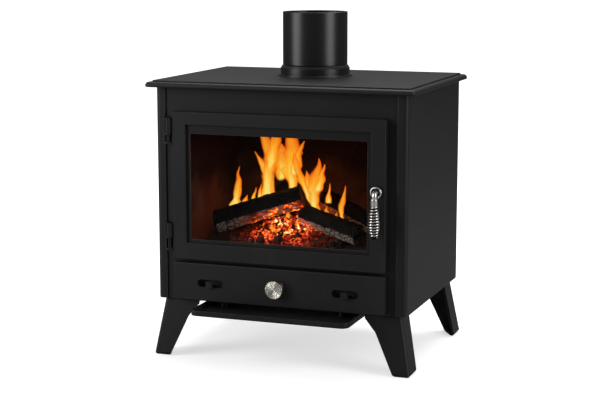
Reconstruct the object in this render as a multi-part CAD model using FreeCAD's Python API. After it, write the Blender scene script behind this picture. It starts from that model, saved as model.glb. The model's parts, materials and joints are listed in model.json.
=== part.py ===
import FreeCAD, Part
import math
import os

# Wood burning stove, in millimetres. X is the width, Y the depth with the front at -Y, Z is up.
# Shapes are drawn about the middle of the body, with heights from a datum 110 mm under it. save()
# moves them so that the origin is on the floor, under the middle of the whole object.

os.makedirs("parts", exist_ok=True)

V = FreeCAD.Vector

# Body: a welded box of 5 mm sheet
BODY_X = 250.0                  # half width
BODY_Y = 185.0                  # half depth
BODY_BOTTOM = 110.0
FLOOR = -4.0                    # the feet are 114 mm tall
BODY_TOP = 520.0
SHEET = 5.0
INNER_X = BODY_X - SHEET
FOLD_R = 9.0                    # outer radius where a side panel folds onto the front
RETURN_X = 230.0                # inner edge of that fold
PLATE_FRONT = -182.0            # front face of the front plate, 3 mm behind the folds
PLATE_BACK = PLATE_FRONT + SHEET
REAR_FACE = BODY_Y - SHEET      # inner face of the rear panel

# Top plate with a moulded edge
TOP_SIDE_OVERHANG = 17.0
TOP_REAR_OVERHANG = 5.0
TOP_SLAB = 10.0
TOP_STEP = 3.0
TOP_STEP_INSET = 12.0
TOP_Z = BODY_TOP + TOP_SLAB + TOP_STEP
TAB_BOLTS = ((232.0, 125.0),)   # through angle tabs inside the side panels
TAB_X = (222.0, 240.0)          # inner edges of the tab's shelf and of its wall
TAB_HALF = 14.0
TAB_SHELF = 6.0
TAB_DEPTH = 34.0

# Flue: a 5 inch pipe in a cast collar
FLUE_Y = 20.0
PIPE_R = 63.5
PIPE_BORE_R = 60.5
PIPE_TAIL_R = 62.5              # drawn in at its lower end, to stand in the collar
PIPE_EDGE = 0.8                 # bevel of the cut end
PIPE_LEDGE_Z = TOP_Z + 5.0
PIPE_TOP_Z = 658.0
NECK_R = 65.5
COLLAR_R = 68.0
COLLAR_FLANGE_R = 73.0
COLLAR_TOP_Z = 549.0
SEAL_TOP_Z = 555.0
NECK_BOTTOM_Z = 505.0
CLAMP_R = 80.0
CLAMP_Z = 510.0

# Feet: folded corner walls that lean outwards, with a sole
FOOT_TOP = (239.0, 178.0)       # outer corner under the body
FOOT_SOLE = (260.0, 190.0)      # outer corner on the floor
FOOT_WALL = 5.0
FOOT_FOLD_R = 7.0
FOOT_SOLE_R = 7.0
FOOT_TOP_WIDTH = (71.0, 48.0)   # width of the front wall and of the side wall under the body
FOOT_SOLE_WIDTH = (33.0, 48.0)
FOOT_SHOULDER = (8.0, 6.0)      # depth of the short upright edge under the body, and its corner radius
FOOT_NECK = (22.0, 33.5)        # how far the slanting edge below it reaches out, and down
FOOT_NECK_R = 20.0
FOOT_GAP = 2.5                  # dark line between the walls of a foot and the body
FOOT_FLANGE_INSET = 3.0
FOOT_BOLTS = ((200.0, 158.0), (222.0, 148.0))
M8_R = 4.0
M8_HEAD_R = 6.5
M8_HEAD = 5.5

# Door
DOOR_X = 212.0
DOOR_Z = (192.0, 476.0)
DOOR_FRONT = -198.0
DOOR_BACK = -184.0
WINDOW_X = 183.5                # opening of the cast door frame
WINDOW_Z = (224.5, 451.0)
SURROUND_X = 176.0              # opening of the thin surround inside it
SURROUND_Z = (231.5, 434.0)
POCKET_X = 189.0                # pocket for the glass, from the back
POCKET_Z = (219.0, 457.0)
POCKET_FRONT = -191.0
GLASS_FRONT = -188.0
ROPE_X = (204.5, 210.5)
ROPE_LOW_Z = (194.0, 200.0)
ROPE_HIGH_Z = (468.0, 474.0)
ROPE_FRONT = -188.0
ROPE_BACK = -182.4
DOORWAY_X = 203.5               # opening of the front plate behind the door
DOORWAY_Z = (201.0, 467.0)
CLIP_REACH = 8.0                # how far a clip laps onto the glass
CLIP_HALF = 7.0

# Hinges on the left edge
HINGE = (-218.0, -199.0)        # axis in X and Y
HINGE_PIN_R = 3.0
HINGE_KNUCKLE_R = 5.0
HINGE_RUNNING_FIT = 0.08
HINGES = {"upper": (414.0, 435.0, 464.0), "lower": (209.0, 236.0, 261.0)}  # low, middle, high
HINGE_LIFT = 0.4                # gap between the two halves of a hinge
HINGE_EAR = 4.0                 # height of each of the two ears that hold the pin
HINGE_BAR = (-230.0, -224.0)

# Latch and handle
LATCH_X = 196.0
LATCH_Z = 343.0
SPINDLE_R = 4.0
SPINDLE_HOLE_R = 4.05
ROSETTE_R = 11.0
ROSETTE_FRONT = -205.0
HANDLE_Y = -213.0               # axis of the hanging part
HANDLE_ROD_R = 4.75
HANDLE_BEND_R = 6.0
HANDLE_END_Z = 259.0
HANDLE_START_Y = ROSETTE_FRONT - 0.3
FERRULE_Z = (320.0, 332.0)      # thicker stretch above the coil
FERRULE_R = 6.6
COIL = ((7.5, 320.0), (11.2, 304.0), (13.0, 283.0), (11.0, 268.0), (6.5, 261.0))  # radius, height
CAM_Y = (-176.0, -171.0)
CAM_REACH = 25.0
CAM_HALF = 4.0
SPINDLE_END_Y = -168.0

# Ash drawer
DRAWER_Z = (113.0, 186.0)
DRAWER_OPENING_X = 190.0
DRAWER_OPENING_Z = (118.0, 182.0)
PAN_X = 180.0
PAN_Y = (-180.0, 140.0)
PAN_Z = (119.0, 170.0)
PAN_WALL = 2.0
KNOB_Z = 149.0
KNOB_R = 17.5
KNOB_LENGTH = 16.5
KNOB_FLANGE_R = 15.8
KNOB_WAIST_R = 10.0
KNOB_SCREW_R = 3.0
SLOT_X = 135.5
SLOT_Z = 148.0
SLOT_HALF = (26.0, 7.5)
SLIDER_HALF = (30.0, 12.0)
SLIDER_Y = (-183.7, -181.7)
SLIDER_TAB_HALF = 6.5
SLIDER_TAB_FRONT = -205.0
SLIDER_TAB_Z = (-8.5, 4.5)      # finger tab, from the middle of the slot
SLIDER_STEM_Z = (-6.5, -4.5)
RAIL_X = 178.0
RAIL_BACK = -180.0
RAIL_GAP = 0.3
DRAWER_SCREW_X = 60.0
RUNNER_X = (160.0, 186.0)
RUNNER_Y = (-172.0, 145.0)
RUNNER_TOP = PAN_Z[0] - 0.4
RUNNER_WALL_TOP = 135.0

# Ash lip under the door
LIP_X = 157.0
LIP_Y = (-250.0, -110.0)
LIP_Z = (96.0, 106.0)
LIP_SHEET = 2.5
LIP_R = 15.0
LIP_BOLTS = ((120.0, -165.0), (120.0, -130.0))
LIP_SPACER_R = 8.0
M6_R = 3.0
M6_HEAD_R = 5.5
M6_HEAD = 4.0

# Firebox
HEARTH_Z = 185.0
HEARTH_HOLE = (150.0, 110.0)    # half width and half depth of the hole for falling ash
LEDGE_X = (222.0, 240.0)        # inner edges of the angle bars under the hearth plate
LEDGE_Y = 170.0
LEDGE_SHELF = 5.0
LEDGE_DEPTH = 25.0
BRICK = 25.0
BRICK_TOP = 425.0
BRICK_Y = (-155.0, 155.0)
GRATE_X = 190.0
GRATE_Y = 140.0
GRATE_Z = 203.0
GRATE_SLOT_Y = (8.0, 98.0)
GRATE_SLOT_HALF = 5.0
GRATE_PITCH = 24.0
GUARD_Y = -160.0
GUARD_TOP = 224.0
GUARD_X = 205.0
GUARD_SHEET = 4.0
GUARD_FEET = (170.0, 12.0)      # place and half width of its feet
GUARD_LIFT = 8.0
BAFFLE_REAR = (154.0, 427.0)
BAFFLE_FRONT = (-90.0, 462.0)
BAFFLE_THICK = 12.0
DUCT_X = 236.0
DUCT_Y = -150.0
DUCT_Z = (470.0, 512.0)
DUCT_SHEET = 2.5
EMBER_X = 182.0
EMBER_Y = 136.0
EMBER_TOP = 220.0
MOUND = (-15.0, -15.0, 105.0, 35.0, 28.0)   # x, y, base radius, top radius, height

# Split logs: axis ends and section radius
LOGS = {
    "log_front_left": (V(-165, -100, 249), V(4, -60, 303), 28.0),
    "log_front_right": (V(8, -74, 270), V(134, -105, 241), 24.0),
    "log_rear_left": (V(-172, 12, 243), V(-48, 45, 303), 24.0),
    "log_rear_right": (V(18, 10, 290), V(128, 2, 243), 24.0),
}
LOG_SECTION = ((0.0, 1.0), (62.0, 0.86), (118.0, 1.0), (190.0, 0.84), (236.0, 1.0), (300.0, 0.9))


# ---------------------------------------------------------------- shapes

def box(x, y, z):
    """A block from three (low, high) pairs."""
    return Part.makeBox(x[1] - x[0], y[1] - y[0], z[1] - z[0], V(x[0], y[0], z[0]))


def rod(start, end, radius):
    """A round bar between two points."""
    along = end - start
    return Part.makeCylinder(radius, along.Length, start, along)


def rounded_wire(points, radii):
    """A closed outline through the points, each corner rounded by its radius."""
    corners = []
    for i, point in enumerate(points):
        back = points[i - 1] - point
        ahead = points[(i + 1) % len(points)] - point
        back = back * (1 / back.Length)
        ahead = ahead * (1 / ahead.Length)
        half = back.getAngle(ahead) / 2
        inward = back + ahead
        if radii[i] == 0 or inward.Length < 1e-6:
            corners.append((point, point, point))
            continue
        inward = inward * (1 / inward.Length)
        reach = radii[i] / math.tan(half)
        centre = point + inward * (radii[i] / math.sin(half))
        corners.append((point + back * reach, centre - inward * radii[i], point + ahead * reach))
    edges = []
    for i, (start, middle, end) in enumerate(corners):
        if (end - start).Length > 1e-6:
            edges.append(Part.Arc(start, middle, end).toShape())
        following = corners[(i + 1) % len(corners)][0]
        if (following - end).Length > 1e-6:
            edges.append(Part.LineSegment(end, following).toShape())
    return Part.Wire(edges)


def prism(points, radii, push):
    """The rounded outline through the points, pushed along a vector."""
    return Part.Face(rounded_wire(points, radii)).extrude(push)


def plate_xz(x, z, y, radius=0.0):
    """A rectangle that faces the front, with rounded corners and a thickness along Y."""
    points = [V(x[0], y[0], z[0]), V(x[1], y[0], z[0]), V(x[1], y[0], z[1]), V(x[0], y[0], z[1])]
    return prism(points, [radius] * 4, V(0, y[1] - y[0], 0))


def plate_xy(x, y, z, radii=(0.0, 0.0, 0.0, 0.0)):
    """A level rectangle with its own radius at each corner."""
    points = [V(x[0], y[0], z[0]), V(x[1], y[0], z[0]), V(x[1], y[1], z[0]), V(x[0], y[1], z[0])]
    return prism(points, radii, V(0, 0, z[1] - z[0]))


def spun(profile, centre):
    """A (radius, height) outline turned about the vertical axis through centre."""
    points = [centre + V(r, 0, h) for r, h in profile]
    face = Part.Face(Part.makePolygon(points + points[:1]))
    return face.revolve(centre, V(0, 0, 1), 360)


def facing_front(shape, place):
    """Turns a shape drawn upwards from the origin so that it points to the front."""
    turned = shape.copy()
    turned.rotate(V(0, 0, 0), V(1, 0, 0), 90)
    turned.translate(place)
    return turned


def mirrored(shape, across_x, across_y):
    """The shape on the other side of the body, in X, in Y or in both."""
    result = shape
    if across_x:
        result = result.mirror(V(0, 0, 0), V(1, 0, 0))
    if across_y:
        result = result.mirror(V(0, 0, 0), V(0, 1, 0))
    return result


def both(half):
    """The (low, high) pair of a half width."""
    return (-half, half)


def four_ways(places):
    """Each (x, y) place with its mirror images in both directions."""
    return [(sx * x, sy * y) for x, y in places for sx in (-1, 1) for sy in (-1, 1)]


def two_ways(places):
    """Each (x, y) place with its mirror image in X."""
    return [(sx * x, y) for x, y in places for sx in (-1, 1)]


def fillet(shape, radius, chosen):
    """Rounds the edges for which chosen(bounding box of the edge) is true."""
    edges = [e for e in shape.Edges if chosen(e.BoundBox)]
    return shape.makeFillet(radius, edges)


def save(name, shapes):
    """Writes one node: a single solid, or a group of separate ones."""
    group = shapes if isinstance(shapes, list) else [shapes]
    moved = []
    for shape in group:
        copy = shape.copy()
        copy.translate(V(0, origin_y(), -FLOOR))
        moved.extend(copy.Solids)
    for solid in moved:
        assert solid.isValid(), name
    node = moved[0] if len(moved) == 1 else Part.makeCompound(moved)
    node.exportStep("parts/" + name + ".step")
    print(name, len(moved), "solid(s),", round(node.Volume / 1000, 1), "cm3")


# ---------------------------------------------------------------- body shell

def base_plate():
    plate = box(both(INNER_X), (PLATE_BACK, REAR_FACE), (BODY_BOTTOM, BODY_BOTTOM + SHEET))
    for x, y in four_ways(FOOT_BOLTS):
        plate = plate.cut(rod(V(x, y, BODY_BOTTOM - 10), V(x, y, BODY_BOTTOM + 20), M8_R))
    for x, y in two_ways(LIP_BOLTS):
        plate = plate.cut(rod(V(x, y, BODY_BOTTOM - 10), V(x, y, BODY_BOTTOM + 20), M6_R))
    return plate


def side_panel():
    """Right side panel, folded round onto the front."""
    outer = [V(RETURN_X, -BODY_Y, BODY_BOTTOM), V(BODY_X, -BODY_Y, BODY_BOTTOM),
             V(BODY_X, BODY_Y, BODY_BOTTOM), V(INNER_X, BODY_Y, BODY_BOTTOM),
             V(INNER_X, SHEET - BODY_Y, BODY_BOTTOM), V(RETURN_X, SHEET - BODY_Y, BODY_BOTTOM)]
    radii = [0, FOLD_R, 0, 0, FOLD_R - SHEET, 0]
    return prism(outer, radii, V(0, 0, BODY_TOP - BODY_BOTTOM))


def front_plate():
    thickness = (PLATE_FRONT, PLATE_BACK)
    plate = plate_xz(both(RETURN_X), (BODY_BOTTOM, BODY_TOP), thickness)
    plate = plate.cut(plate_xz(both(DOORWAY_X), DOORWAY_Z, thickness, 3.0))
    return plate.cut(plate_xz(both(DRAWER_OPENING_X), DRAWER_OPENING_Z, thickness, 3.0))


def rear_panel():
    return box(both(INNER_X), (REAR_FACE, BODY_Y), (BODY_BOTTOM, BODY_TOP))


def top_plate():
    side = BODY_X + TOP_SIDE_OVERHANG
    front = -BODY_Y - TOP_SIDE_OVERHANG
    rear = BODY_Y + TOP_REAR_OVERHANG
    slab_top = BODY_TOP + TOP_SLAB
    slab = plate_xy(both(side), (front, rear), (BODY_TOP, slab_top), (10.0,) * 4)
    slab = fillet(slab, 7.0, lambda b: b.ZMin > slab_top - 0.01)
    slab = fillet(slab, 2.9, lambda b: b.ZMax < BODY_TOP + 0.01)
    inset = TOP_STEP_INSET
    step = plate_xy(both(side - inset), (front + inset, rear - inset), (slab_top, TOP_Z), (4.0,) * 4)
    step = fillet(step, 1.5, lambda b: b.ZMin > TOP_Z - 0.01)
    plate = slab.fuse(step)
    hole = Part.makeCylinder(NECK_R + 0.5, 40, V(0, FLUE_Y, BODY_TOP - 5), V(0, 0, 1))
    plate = plate.cut(hole)
    for x, y in four_ways(TAB_BOLTS):
        plate = plate.cut(rod(V(x, y, BODY_TOP - 5), V(x, y, BODY_TOP + 7), M8_R))
    return plate.removeSplitter()


def top_plate_tabs():
    """Angle tabs inside the side panels, under the top plate."""
    tabs = []
    for x, y in four_ways(TAB_BOLTS):
        side = math.copysign(1, x)
        shelf_x = sorted((side * TAB_X[0], side * INNER_X))
        wall_x = sorted((side * TAB_X[1], side * INNER_X))
        along = (y - TAB_HALF, y + TAB_HALF)
        shelf = box(shelf_x, along, (BODY_TOP - TAB_SHELF, BODY_TOP))
        wall = box(wall_x, along, (BODY_TOP - TAB_DEPTH, BODY_TOP - TAB_SHELF + 1))
        hole = rod(V(x, y, BODY_TOP - 20), V(x, y, BODY_TOP + 10), M8_R)
        tabs.append(shelf.fuse(wall).cut(hole).removeSplitter())
    return tabs


def top_plate_bolts():
    bolts = []
    under = BODY_TOP - TAB_SHELF
    for x, y in four_ways(TAB_BOLTS):
        head = rod(V(x, y, under - M8_HEAD), V(x, y, under), M8_HEAD_R)
        bolts.append(head.fuse(rod(V(x, y, under - 1), V(x, y, BODY_TOP + 7), M8_R)).removeSplitter())
    return bolts


# ---------------------------------------------------------------- flue

def flue_collar():
    """Neck through the top plate, a thin foot on it and a socket for the pipe."""
    profile = [(PIPE_BORE_R, NECK_BOTTOM_Z), (NECK_R, NECK_BOTTOM_Z), (NECK_R, TOP_Z),
               (COLLAR_FLANGE_R, TOP_Z), (COLLAR_FLANGE_R, TOP_Z + 3), (COLLAR_R, TOP_Z + 3),
               (COLLAR_R, COLLAR_TOP_Z), (PIPE_TAIL_R, COLLAR_TOP_Z), (PIPE_TAIL_R, PIPE_LEDGE_Z),
               (PIPE_BORE_R, PIPE_LEDGE_Z)]
    collar = spun(profile, V(0, FLUE_Y, 0))
    return fillet(collar, 1.2, lambda b: b.ZMin > TOP_Z + 2.9 and b.XLength > 2 * COLLAR_FLANGE_R - 0.1)


def flue_seal():
    """Fire cement, troweled between the socket and the pipe."""
    profile = [(PIPE_TAIL_R, COLLAR_TOP_Z), (COLLAR_R - 0.6, COLLAR_TOP_Z), (PIPE_R + 1.6, SEAL_TOP_Z - 1.6),
               (PIPE_TAIL_R, SEAL_TOP_Z)]
    return spun(profile, V(0, FLUE_Y, 0))


def flue_pipe():
    """A 5 inch pipe with a drawn in tail below the seal."""
    shoulder_z = SEAL_TOP_Z + PIPE_R - PIPE_TAIL_R
    edge_z = PIPE_TOP_Z - PIPE_EDGE
    profile = [(PIPE_BORE_R, PIPE_LEDGE_Z), (PIPE_TAIL_R, PIPE_LEDGE_Z), (PIPE_TAIL_R, SEAL_TOP_Z),
               (PIPE_R, shoulder_z), (PIPE_R, edge_z), (PIPE_R - PIPE_EDGE, PIPE_TOP_Z),
               (PIPE_BORE_R + PIPE_EDGE, PIPE_TOP_Z), (PIPE_BORE_R, edge_z)]
    return spun(profile, V(0, FLUE_Y, 0))


def clamp_screw(angle, inner, outer, radius):
    across = V(math.cos(angle), math.sin(angle), 0)
    centre = V(0, FLUE_Y, (CLAMP_Z + BODY_TOP) / 2)
    return rod(centre + across * inner, centre + across * outer, radius)


def clamp_angles():
    return [math.radians(90 + 120 * i) for i in range(3)]


def flue_clamp_ring():
    """Holds the collar down from inside the body."""
    profile = [(NECK_R, CLAMP_Z), (CLAMP_R, CLAMP_Z), (CLAMP_R, BODY_TOP), (NECK_R, BODY_TOP)]
    ring = spun(profile, V(0, FLUE_Y, 0))
    for angle in clamp_angles():
        ring = ring.cut(clamp_screw(angle, NECK_R - 1, CLAMP_R + 1, 2.5))
    return ring


def flue_clamp_screws():
    return [clamp_screw(angle, NECK_R, CLAMP_R + 3, 2.5) for angle in clamp_angles()]


# ---------------------------------------------------------------- feet

def lean(index, z):
    """How far the outer wall is from the middle at height z, across X (0) or Y (1)."""
    drop = (BODY_BOTTOM - z) / (BODY_BOTTOM - FLOOR)
    return FOOT_TOP[index] + (FOOT_SOLE[index] - FOOT_TOP[index]) * drop


def foot_core(wall, low):
    """The leaning corner block, drawn in by a wall thickness and starting at height low."""
    high = BODY_BOTTOM
    x_low = lean(0, low) - wall
    x_high = lean(0, high) - wall
    y_low = -lean(1, low) + wall
    y_high = -lean(1, high) + wall
    across = [V(150, -250, low), V(x_low, -250, low), V(x_high, -250, high), V(150, -250, high)]
    along = [V(150, -100, low), V(150, y_low, low), V(150, y_high, high), V(150, -100, high)]
    return prism(across, [0] * 4, V(0, 150, 0)).common(prism(along, [0] * 4, V(150, 0, 0)))


def foot_outline(index):
    """Silhouette of one wall: (distance from the middle, height) points and their corner radii."""
    top_z = BODY_BOTTOM - FOOT_GAP
    inner_top = FOOT_TOP[index] - FOOT_TOP_WIDTH[index]
    inner_sole = FOOT_SOLE[index] - FOOT_SOLE_WIDTH[index]
    corners = [((inner_top, top_z), 0)]
    if index == 0:
        shoulder, shoulder_r = FOOT_SHOULDER
        corners.append(((inner_top, BODY_BOTTOM - shoulder), shoulder_r))
        corners.append(((inner_top + FOOT_NECK[0], BODY_BOTTOM - FOOT_NECK[1]), FOOT_NECK_R))
    corners.append(((inner_sole, FLOOR), FOOT_SOLE_R))
    corners.append(((FOOT_SOLE[index], FLOOR), FOOT_SOLE_R))
    corners.append(((lean(index, top_z), top_z), 0))
    return corners


def foot_mask(index):
    """That silhouette pushed through the whole foot."""
    corners = foot_outline(index)
    radii = [radius for _point, radius in corners]
    if index == 0:
        return prism([V(across, -250, z) for (across, z), _r in corners], radii, V(0, 150, 0))
    return prism([V(150, -along, z) for (along, z), _r in corners], radii, V(150, 0, 0))


def foot_sole_cut():
    """What is taken off the sole plate, so that it is a triangle between the two walls."""
    x = FOOT_SOLE[0] - FOOT_WALL - 2
    y = FOOT_SOLE[1] - FOOT_WALL - 2
    inner_x = FOOT_SOLE[0] - FOOT_SOLE_WIDTH[0]
    inner_y = FOOT_SOLE[1] - FOOT_SOLE_WIDTH[1]
    low = FLOOR - 1
    points = [V(x, -inner_y, low), V(inner_x, -y, low), V(150, -y, low), V(150, -100, low), V(x, -100, low)]
    return prism(points, [0] * 5, V(0, 0, FOOT_WALL + 2))


def foot():
    """Front right foot. The other three are its mirror images."""
    outer = foot_core(0, FLOOR)
    corner_x = FOOT_TOP[0] - 1
    corner_y = 1 - FOOT_TOP[1]
    outer = fillet(outer, FOOT_FOLD_R, lambda b: b.XMin > corner_x and b.YMax < corner_y and b.ZLength > 100)
    shell = outer.cut(foot_core(FOOT_WALL, FLOOR + FOOT_WALL)).cut(foot_sole_cut())
    shell = shell.common(foot_mask(0)).common(foot_mask(1))
    whole = shell.fuse(foot_flange())
    for x, y in FOOT_BOLTS:
        whole = whole.cut(rod(V(x, -y, BODY_BOTTOM - 20), V(x, -y, BODY_BOTTOM + 10), M8_R))
    return whole.removeSplitter()


def foot_flange():
    """Level plate inside the top of the foot, with its inner corner cut off."""
    inner_x = FOOT_TOP[0] - FOOT_TOP_WIDTH[0] + 2
    inner_y = FOOT_TOP[1] - FOOT_TOP_WIDTH[1] + 2
    edge_x = FOOT_TOP[0] - FOOT_FLANGE_INSET
    edge_y = FOOT_TOP[1] - FOOT_FLANGE_INSET
    low = BODY_BOTTOM - FOOT_WALL
    points = [V(inner_x, -edge_y, low), V(edge_x, -edge_y, low), V(edge_x, -inner_y, low),
              V(edge_x - 25, -inner_y, low), V(inner_x, -edge_y + 25, low)]
    return prism(points, [0] * 5, V(0, 0, FOOT_WALL))


def leg_bolts():
    """M8 bolts from below, each with a nut on the base plate."""
    bolts = []
    foot_under = BODY_BOTTOM - FOOT_WALL
    plate_top = BODY_BOTTOM + SHEET
    for x, y in four_ways(FOOT_BOLTS):
        head = rod(V(x, y, foot_under - M8_HEAD), V(x, y, foot_under), M8_HEAD_R)
        shank = rod(V(x, y, foot_under - 1), V(x, y, plate_top + 8), M8_R)
        nut = rod(V(x, y, plate_top), V(x, y, plate_top + 6), M8_HEAD_R)
        bolts.append(head.fuse(shank).fuse(nut).removeSplitter())
    return bolts


def origin_y():
    """Half the difference between the reach of the lip in front and of the top plate behind."""
    return (-LIP_Y[0] - BODY_Y - TOP_REAR_OVERHANG) / 2


# ---------------------------------------------------------------- ash lip

def ash_lip():
    """A shallow tray that catches ash in front of the door."""
    corners = (LIP_R, LIP_R, 2.0, 2.0)
    tray = plate_xy(both(LIP_X), LIP_Y, LIP_Z, corners)
    wall = LIP_SHEET
    inside = plate_xy(both(LIP_X - wall), (LIP_Y[0] + wall, LIP_Y[1] + 20), (LIP_Z[0] + wall, LIP_Z[1] + 1),
                      (LIP_R - wall, LIP_R - wall, 0, 0))
    tray = tray.cut(inside)
    for x, y in two_ways(LIP_BOLTS):
        tray = tray.cut(rod(V(x, y, LIP_Z[0] - 5), V(x, y, LIP_Z[1] + 5), M6_R))
    return tray


def ash_lip_spacers():
    spacers = []
    for x, y in two_ways(LIP_BOLTS):
        low = V(x, y, LIP_Z[0] + LIP_SHEET)
        high = V(x, y, BODY_BOTTOM)
        spacers.append(rod(low, high, LIP_SPACER_R).cut(rod(low, high, M6_R)))
    return spacers


def ash_lip_bolts():
    bolts = []
    for x, y in two_ways(LIP_BOLTS):
        head = rod(V(x, y, LIP_Z[0] - M6_HEAD), V(x, y, LIP_Z[0]), M6_HEAD_R)
        shank = rod(V(x, y, LIP_Z[0] - 1), V(x, y, BODY_BOTTOM + SHEET), M6_R)
        bolts.append(head.fuse(shank).removeSplitter())
    return bolts


# ---------------------------------------------------------------- door

def door_frame():
    thickness = (DOOR_FRONT, DOOR_BACK)
    frame = plate_xz(both(DOOR_X), DOOR_Z, thickness, 3.0)
    frame = fillet(frame, 2.0, lambda b: b.YMax < DOOR_FRONT + 0.01)
    window = plate_xz(both(WINDOW_X), WINDOW_Z, thickness, 2.0)
    frame = frame.cut(window)
    frame = fillet(frame, 1.5, lambda b: b.YMax < DOOR_FRONT + 0.01 and b.XMax < WINDOW_X + 0.01
                   and b.XMin > -WINDOW_X - 0.01 and b.ZMin > WINDOW_Z[0] - 0.01
                   and b.ZMax < WINDOW_Z[1] + 0.01)
    frame = frame.cut(plate_xz(both(POCKET_X), POCKET_Z, (POCKET_FRONT, DOOR_BACK), 2.0))
    frame = frame.cut(rope_ring(ROPE_FRONT, DOOR_BACK))
    frame = frame.cut(rod(V(LATCH_X, DOOR_FRONT - 1, LATCH_Z), V(LATCH_X, DOOR_BACK + 1, LATCH_Z),
                          SPINDLE_HOLE_R))
    for screw, _clip in clip_places():
        frame = frame.cut(rod(V(screw[0], DOOR_BACK - 8, screw[1]), V(screw[0], DOOR_BACK, screw[1]), 2.0))
    return frame


def rope_ring(front, back):
    """The square loop of the door rope between two depths."""
    outer = plate_xz(both(ROPE_X[1]), (ROPE_LOW_Z[0], ROPE_HIGH_Z[1]), (front, back), 9.0)
    inner = plate_xz(both(ROPE_X[0]), (ROPE_LOW_Z[1], ROPE_HIGH_Z[0]), (front, back), 3.0)
    return outer.cut(inner)


def glass_surround():
    boss = plate_xz(both(WINDOW_X - 0.3), (WINDOW_Z[0] + 0.3, WINDOW_Z[1] - 0.3),
                    (POCKET_FRONT - 1.5, POCKET_FRONT + 1), 2.0)
    flange = plate_xz(both(POCKET_X - 0.3), (POCKET_Z[0] + 0.3, POCKET_Z[1] - 0.3),
                      (POCKET_FRONT, POCKET_FRONT + 2), 2.0)
    opening = plate_xz(both(SURROUND_X), SURROUND_Z, (POCKET_FRONT - 2, POCKET_FRONT + 3), 3.0)
    return boss.fuse(flange).cut(opening).removeSplitter()


def glass_gasket():
    layer = (POCKET_FRONT + 2, GLASS_FRONT)
    outer = plate_xz(both(POCKET_X - 0.3), (POCKET_Z[0] + 0.3, POCKET_Z[1] - 0.3), layer, 2.0)
    inner = plate_xz(both(SURROUND_X + 3), (SURROUND_Z[0] - 3, SURROUND_Z[1] + 3), layer, 3.0)
    return outer.cut(inner)


def door_glass():
    return plate_xz(both(POCKET_X - 0.5), (POCKET_Z[0] + 0.5, POCKET_Z[1] - 0.5),
                    (GLASS_FRONT, DOOR_BACK), 2.0)


def clip_places():
    """Pairs of a screw place and the clip's (x range, z range)."""
    places = []
    side_x = (POCKET_X + ROPE_X[0]) / 2 - 0.25
    top_z = (POCKET_Z[1] + ROPE_HIGH_Z[0]) / 2
    low_z = (POCKET_Z[0] + ROPE_LOW_Z[1]) / 2
    for z in (260.0, 425.0):
        for side in (-1, 1):
            span = sorted((side * (POCKET_X - CLIP_REACH), side * (side_x + 5)))
            places.append(((side * side_x, z), (span, (z - CLIP_HALF, z + CLIP_HALF))))
    for x in (-110.0, 110.0):
        across = (x - CLIP_HALF, x + CLIP_HALF)
        places.append(((x, top_z), (across, (POCKET_Z[1] - CLIP_REACH, top_z + 4))))
        places.append(((x, low_z), (across, (low_z - 5, POCKET_Z[0] + CLIP_REACH))))
    return places


def glass_clips():
    clips = []
    for screw, (x, z) in clip_places():
        clip = box(x, (DOOR_BACK, DOOR_BACK + 2), z)
        hole = rod(V(screw[0], DOOR_BACK - 1, screw[1]), V(screw[0], DOOR_BACK + 3, screw[1]), 2.0)
        clips.append(clip.cut(hole))
    return clips


def glass_clip_screws():
    screws = []
    for (x, z), _clip in clip_places():
        head = rod(V(x, DOOR_BACK + 2, z), V(x, DOOR_BACK + 4.2, z), 3.5)
        shank = rod(V(x, DOOR_BACK - 8, z), V(x, DOOR_BACK + 3, z), 2.0)
        screws.append(head.fuse(shank).removeSplitter())
    return screws


def hinge_bracket(low, middle, high):
    """Bar on the front plate with two ears under the knuckle. The pin shows between them."""
    x, y = HINGE
    bracket = box(HINGE_BAR, (y, PLATE_FRONT), (low, high))
    for ear_low, ear_high in ((low, low + HINGE_EAR), (middle - HINGE_EAR, middle)):
        web = box((HINGE_BAR[1] - 1, x), (y - 3, y + 3), (ear_low, ear_high))
        ear = rod(V(x, y, ear_low), V(x, y, ear_high), HINGE_KNUCKLE_R)
        bracket = bracket.fuse(web).fuse(ear)
    return bracket.cut(rod(V(x, y, low), V(x, y, middle), HINGE_PIN_R)).removeSplitter()


def hinge_pin(low, high):
    x, y = HINGE
    return rod(V(x, y, low), V(x, y, high), HINGE_PIN_R)


def door_knuckle(middle, high):
    """Knuckle on the door edge, over the upper half of the pin."""
    x, y = HINGE
    low = middle + HINGE_LIFT
    web = box((x, -DOOR_X), (y + 2, y + 8), (low, high))
    barrel = rod(V(x, y, low), V(x, y, high), HINGE_KNUCKLE_R)
    bore = rod(V(x, y, low), V(x, y, high), HINGE_PIN_R + HINGE_RUNNING_FIT)
    return web.fuse(barrel).cut(bore).removeSplitter()


def handle_rosette():
    """Domed round plate and its raised rim, with the bore for the spindle."""
    depth = DOOR_FRONT - ROSETTE_FRONT
    profile = [(SPINDLE_HOLE_R, 0), (ROSETTE_R, 0), (ROSETTE_R, depth - 2.5), (ROSETTE_R - 1, depth - 1),
               (ROSETTE_R - 2.5, depth), (SPINDLE_HOLE_R, depth)]
    return facing_front(spun(profile, V(0, 0, 0)), V(LATCH_X, DOOR_FRONT, LATCH_Z))


# ---------------------------------------------------------------- handle

def latch_spindle():
    return rod(V(LATCH_X, HANDLE_START_Y, LATCH_Z), V(LATCH_X, SPINDLE_END_Y, LATCH_Z), SPINDLE_R)


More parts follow.
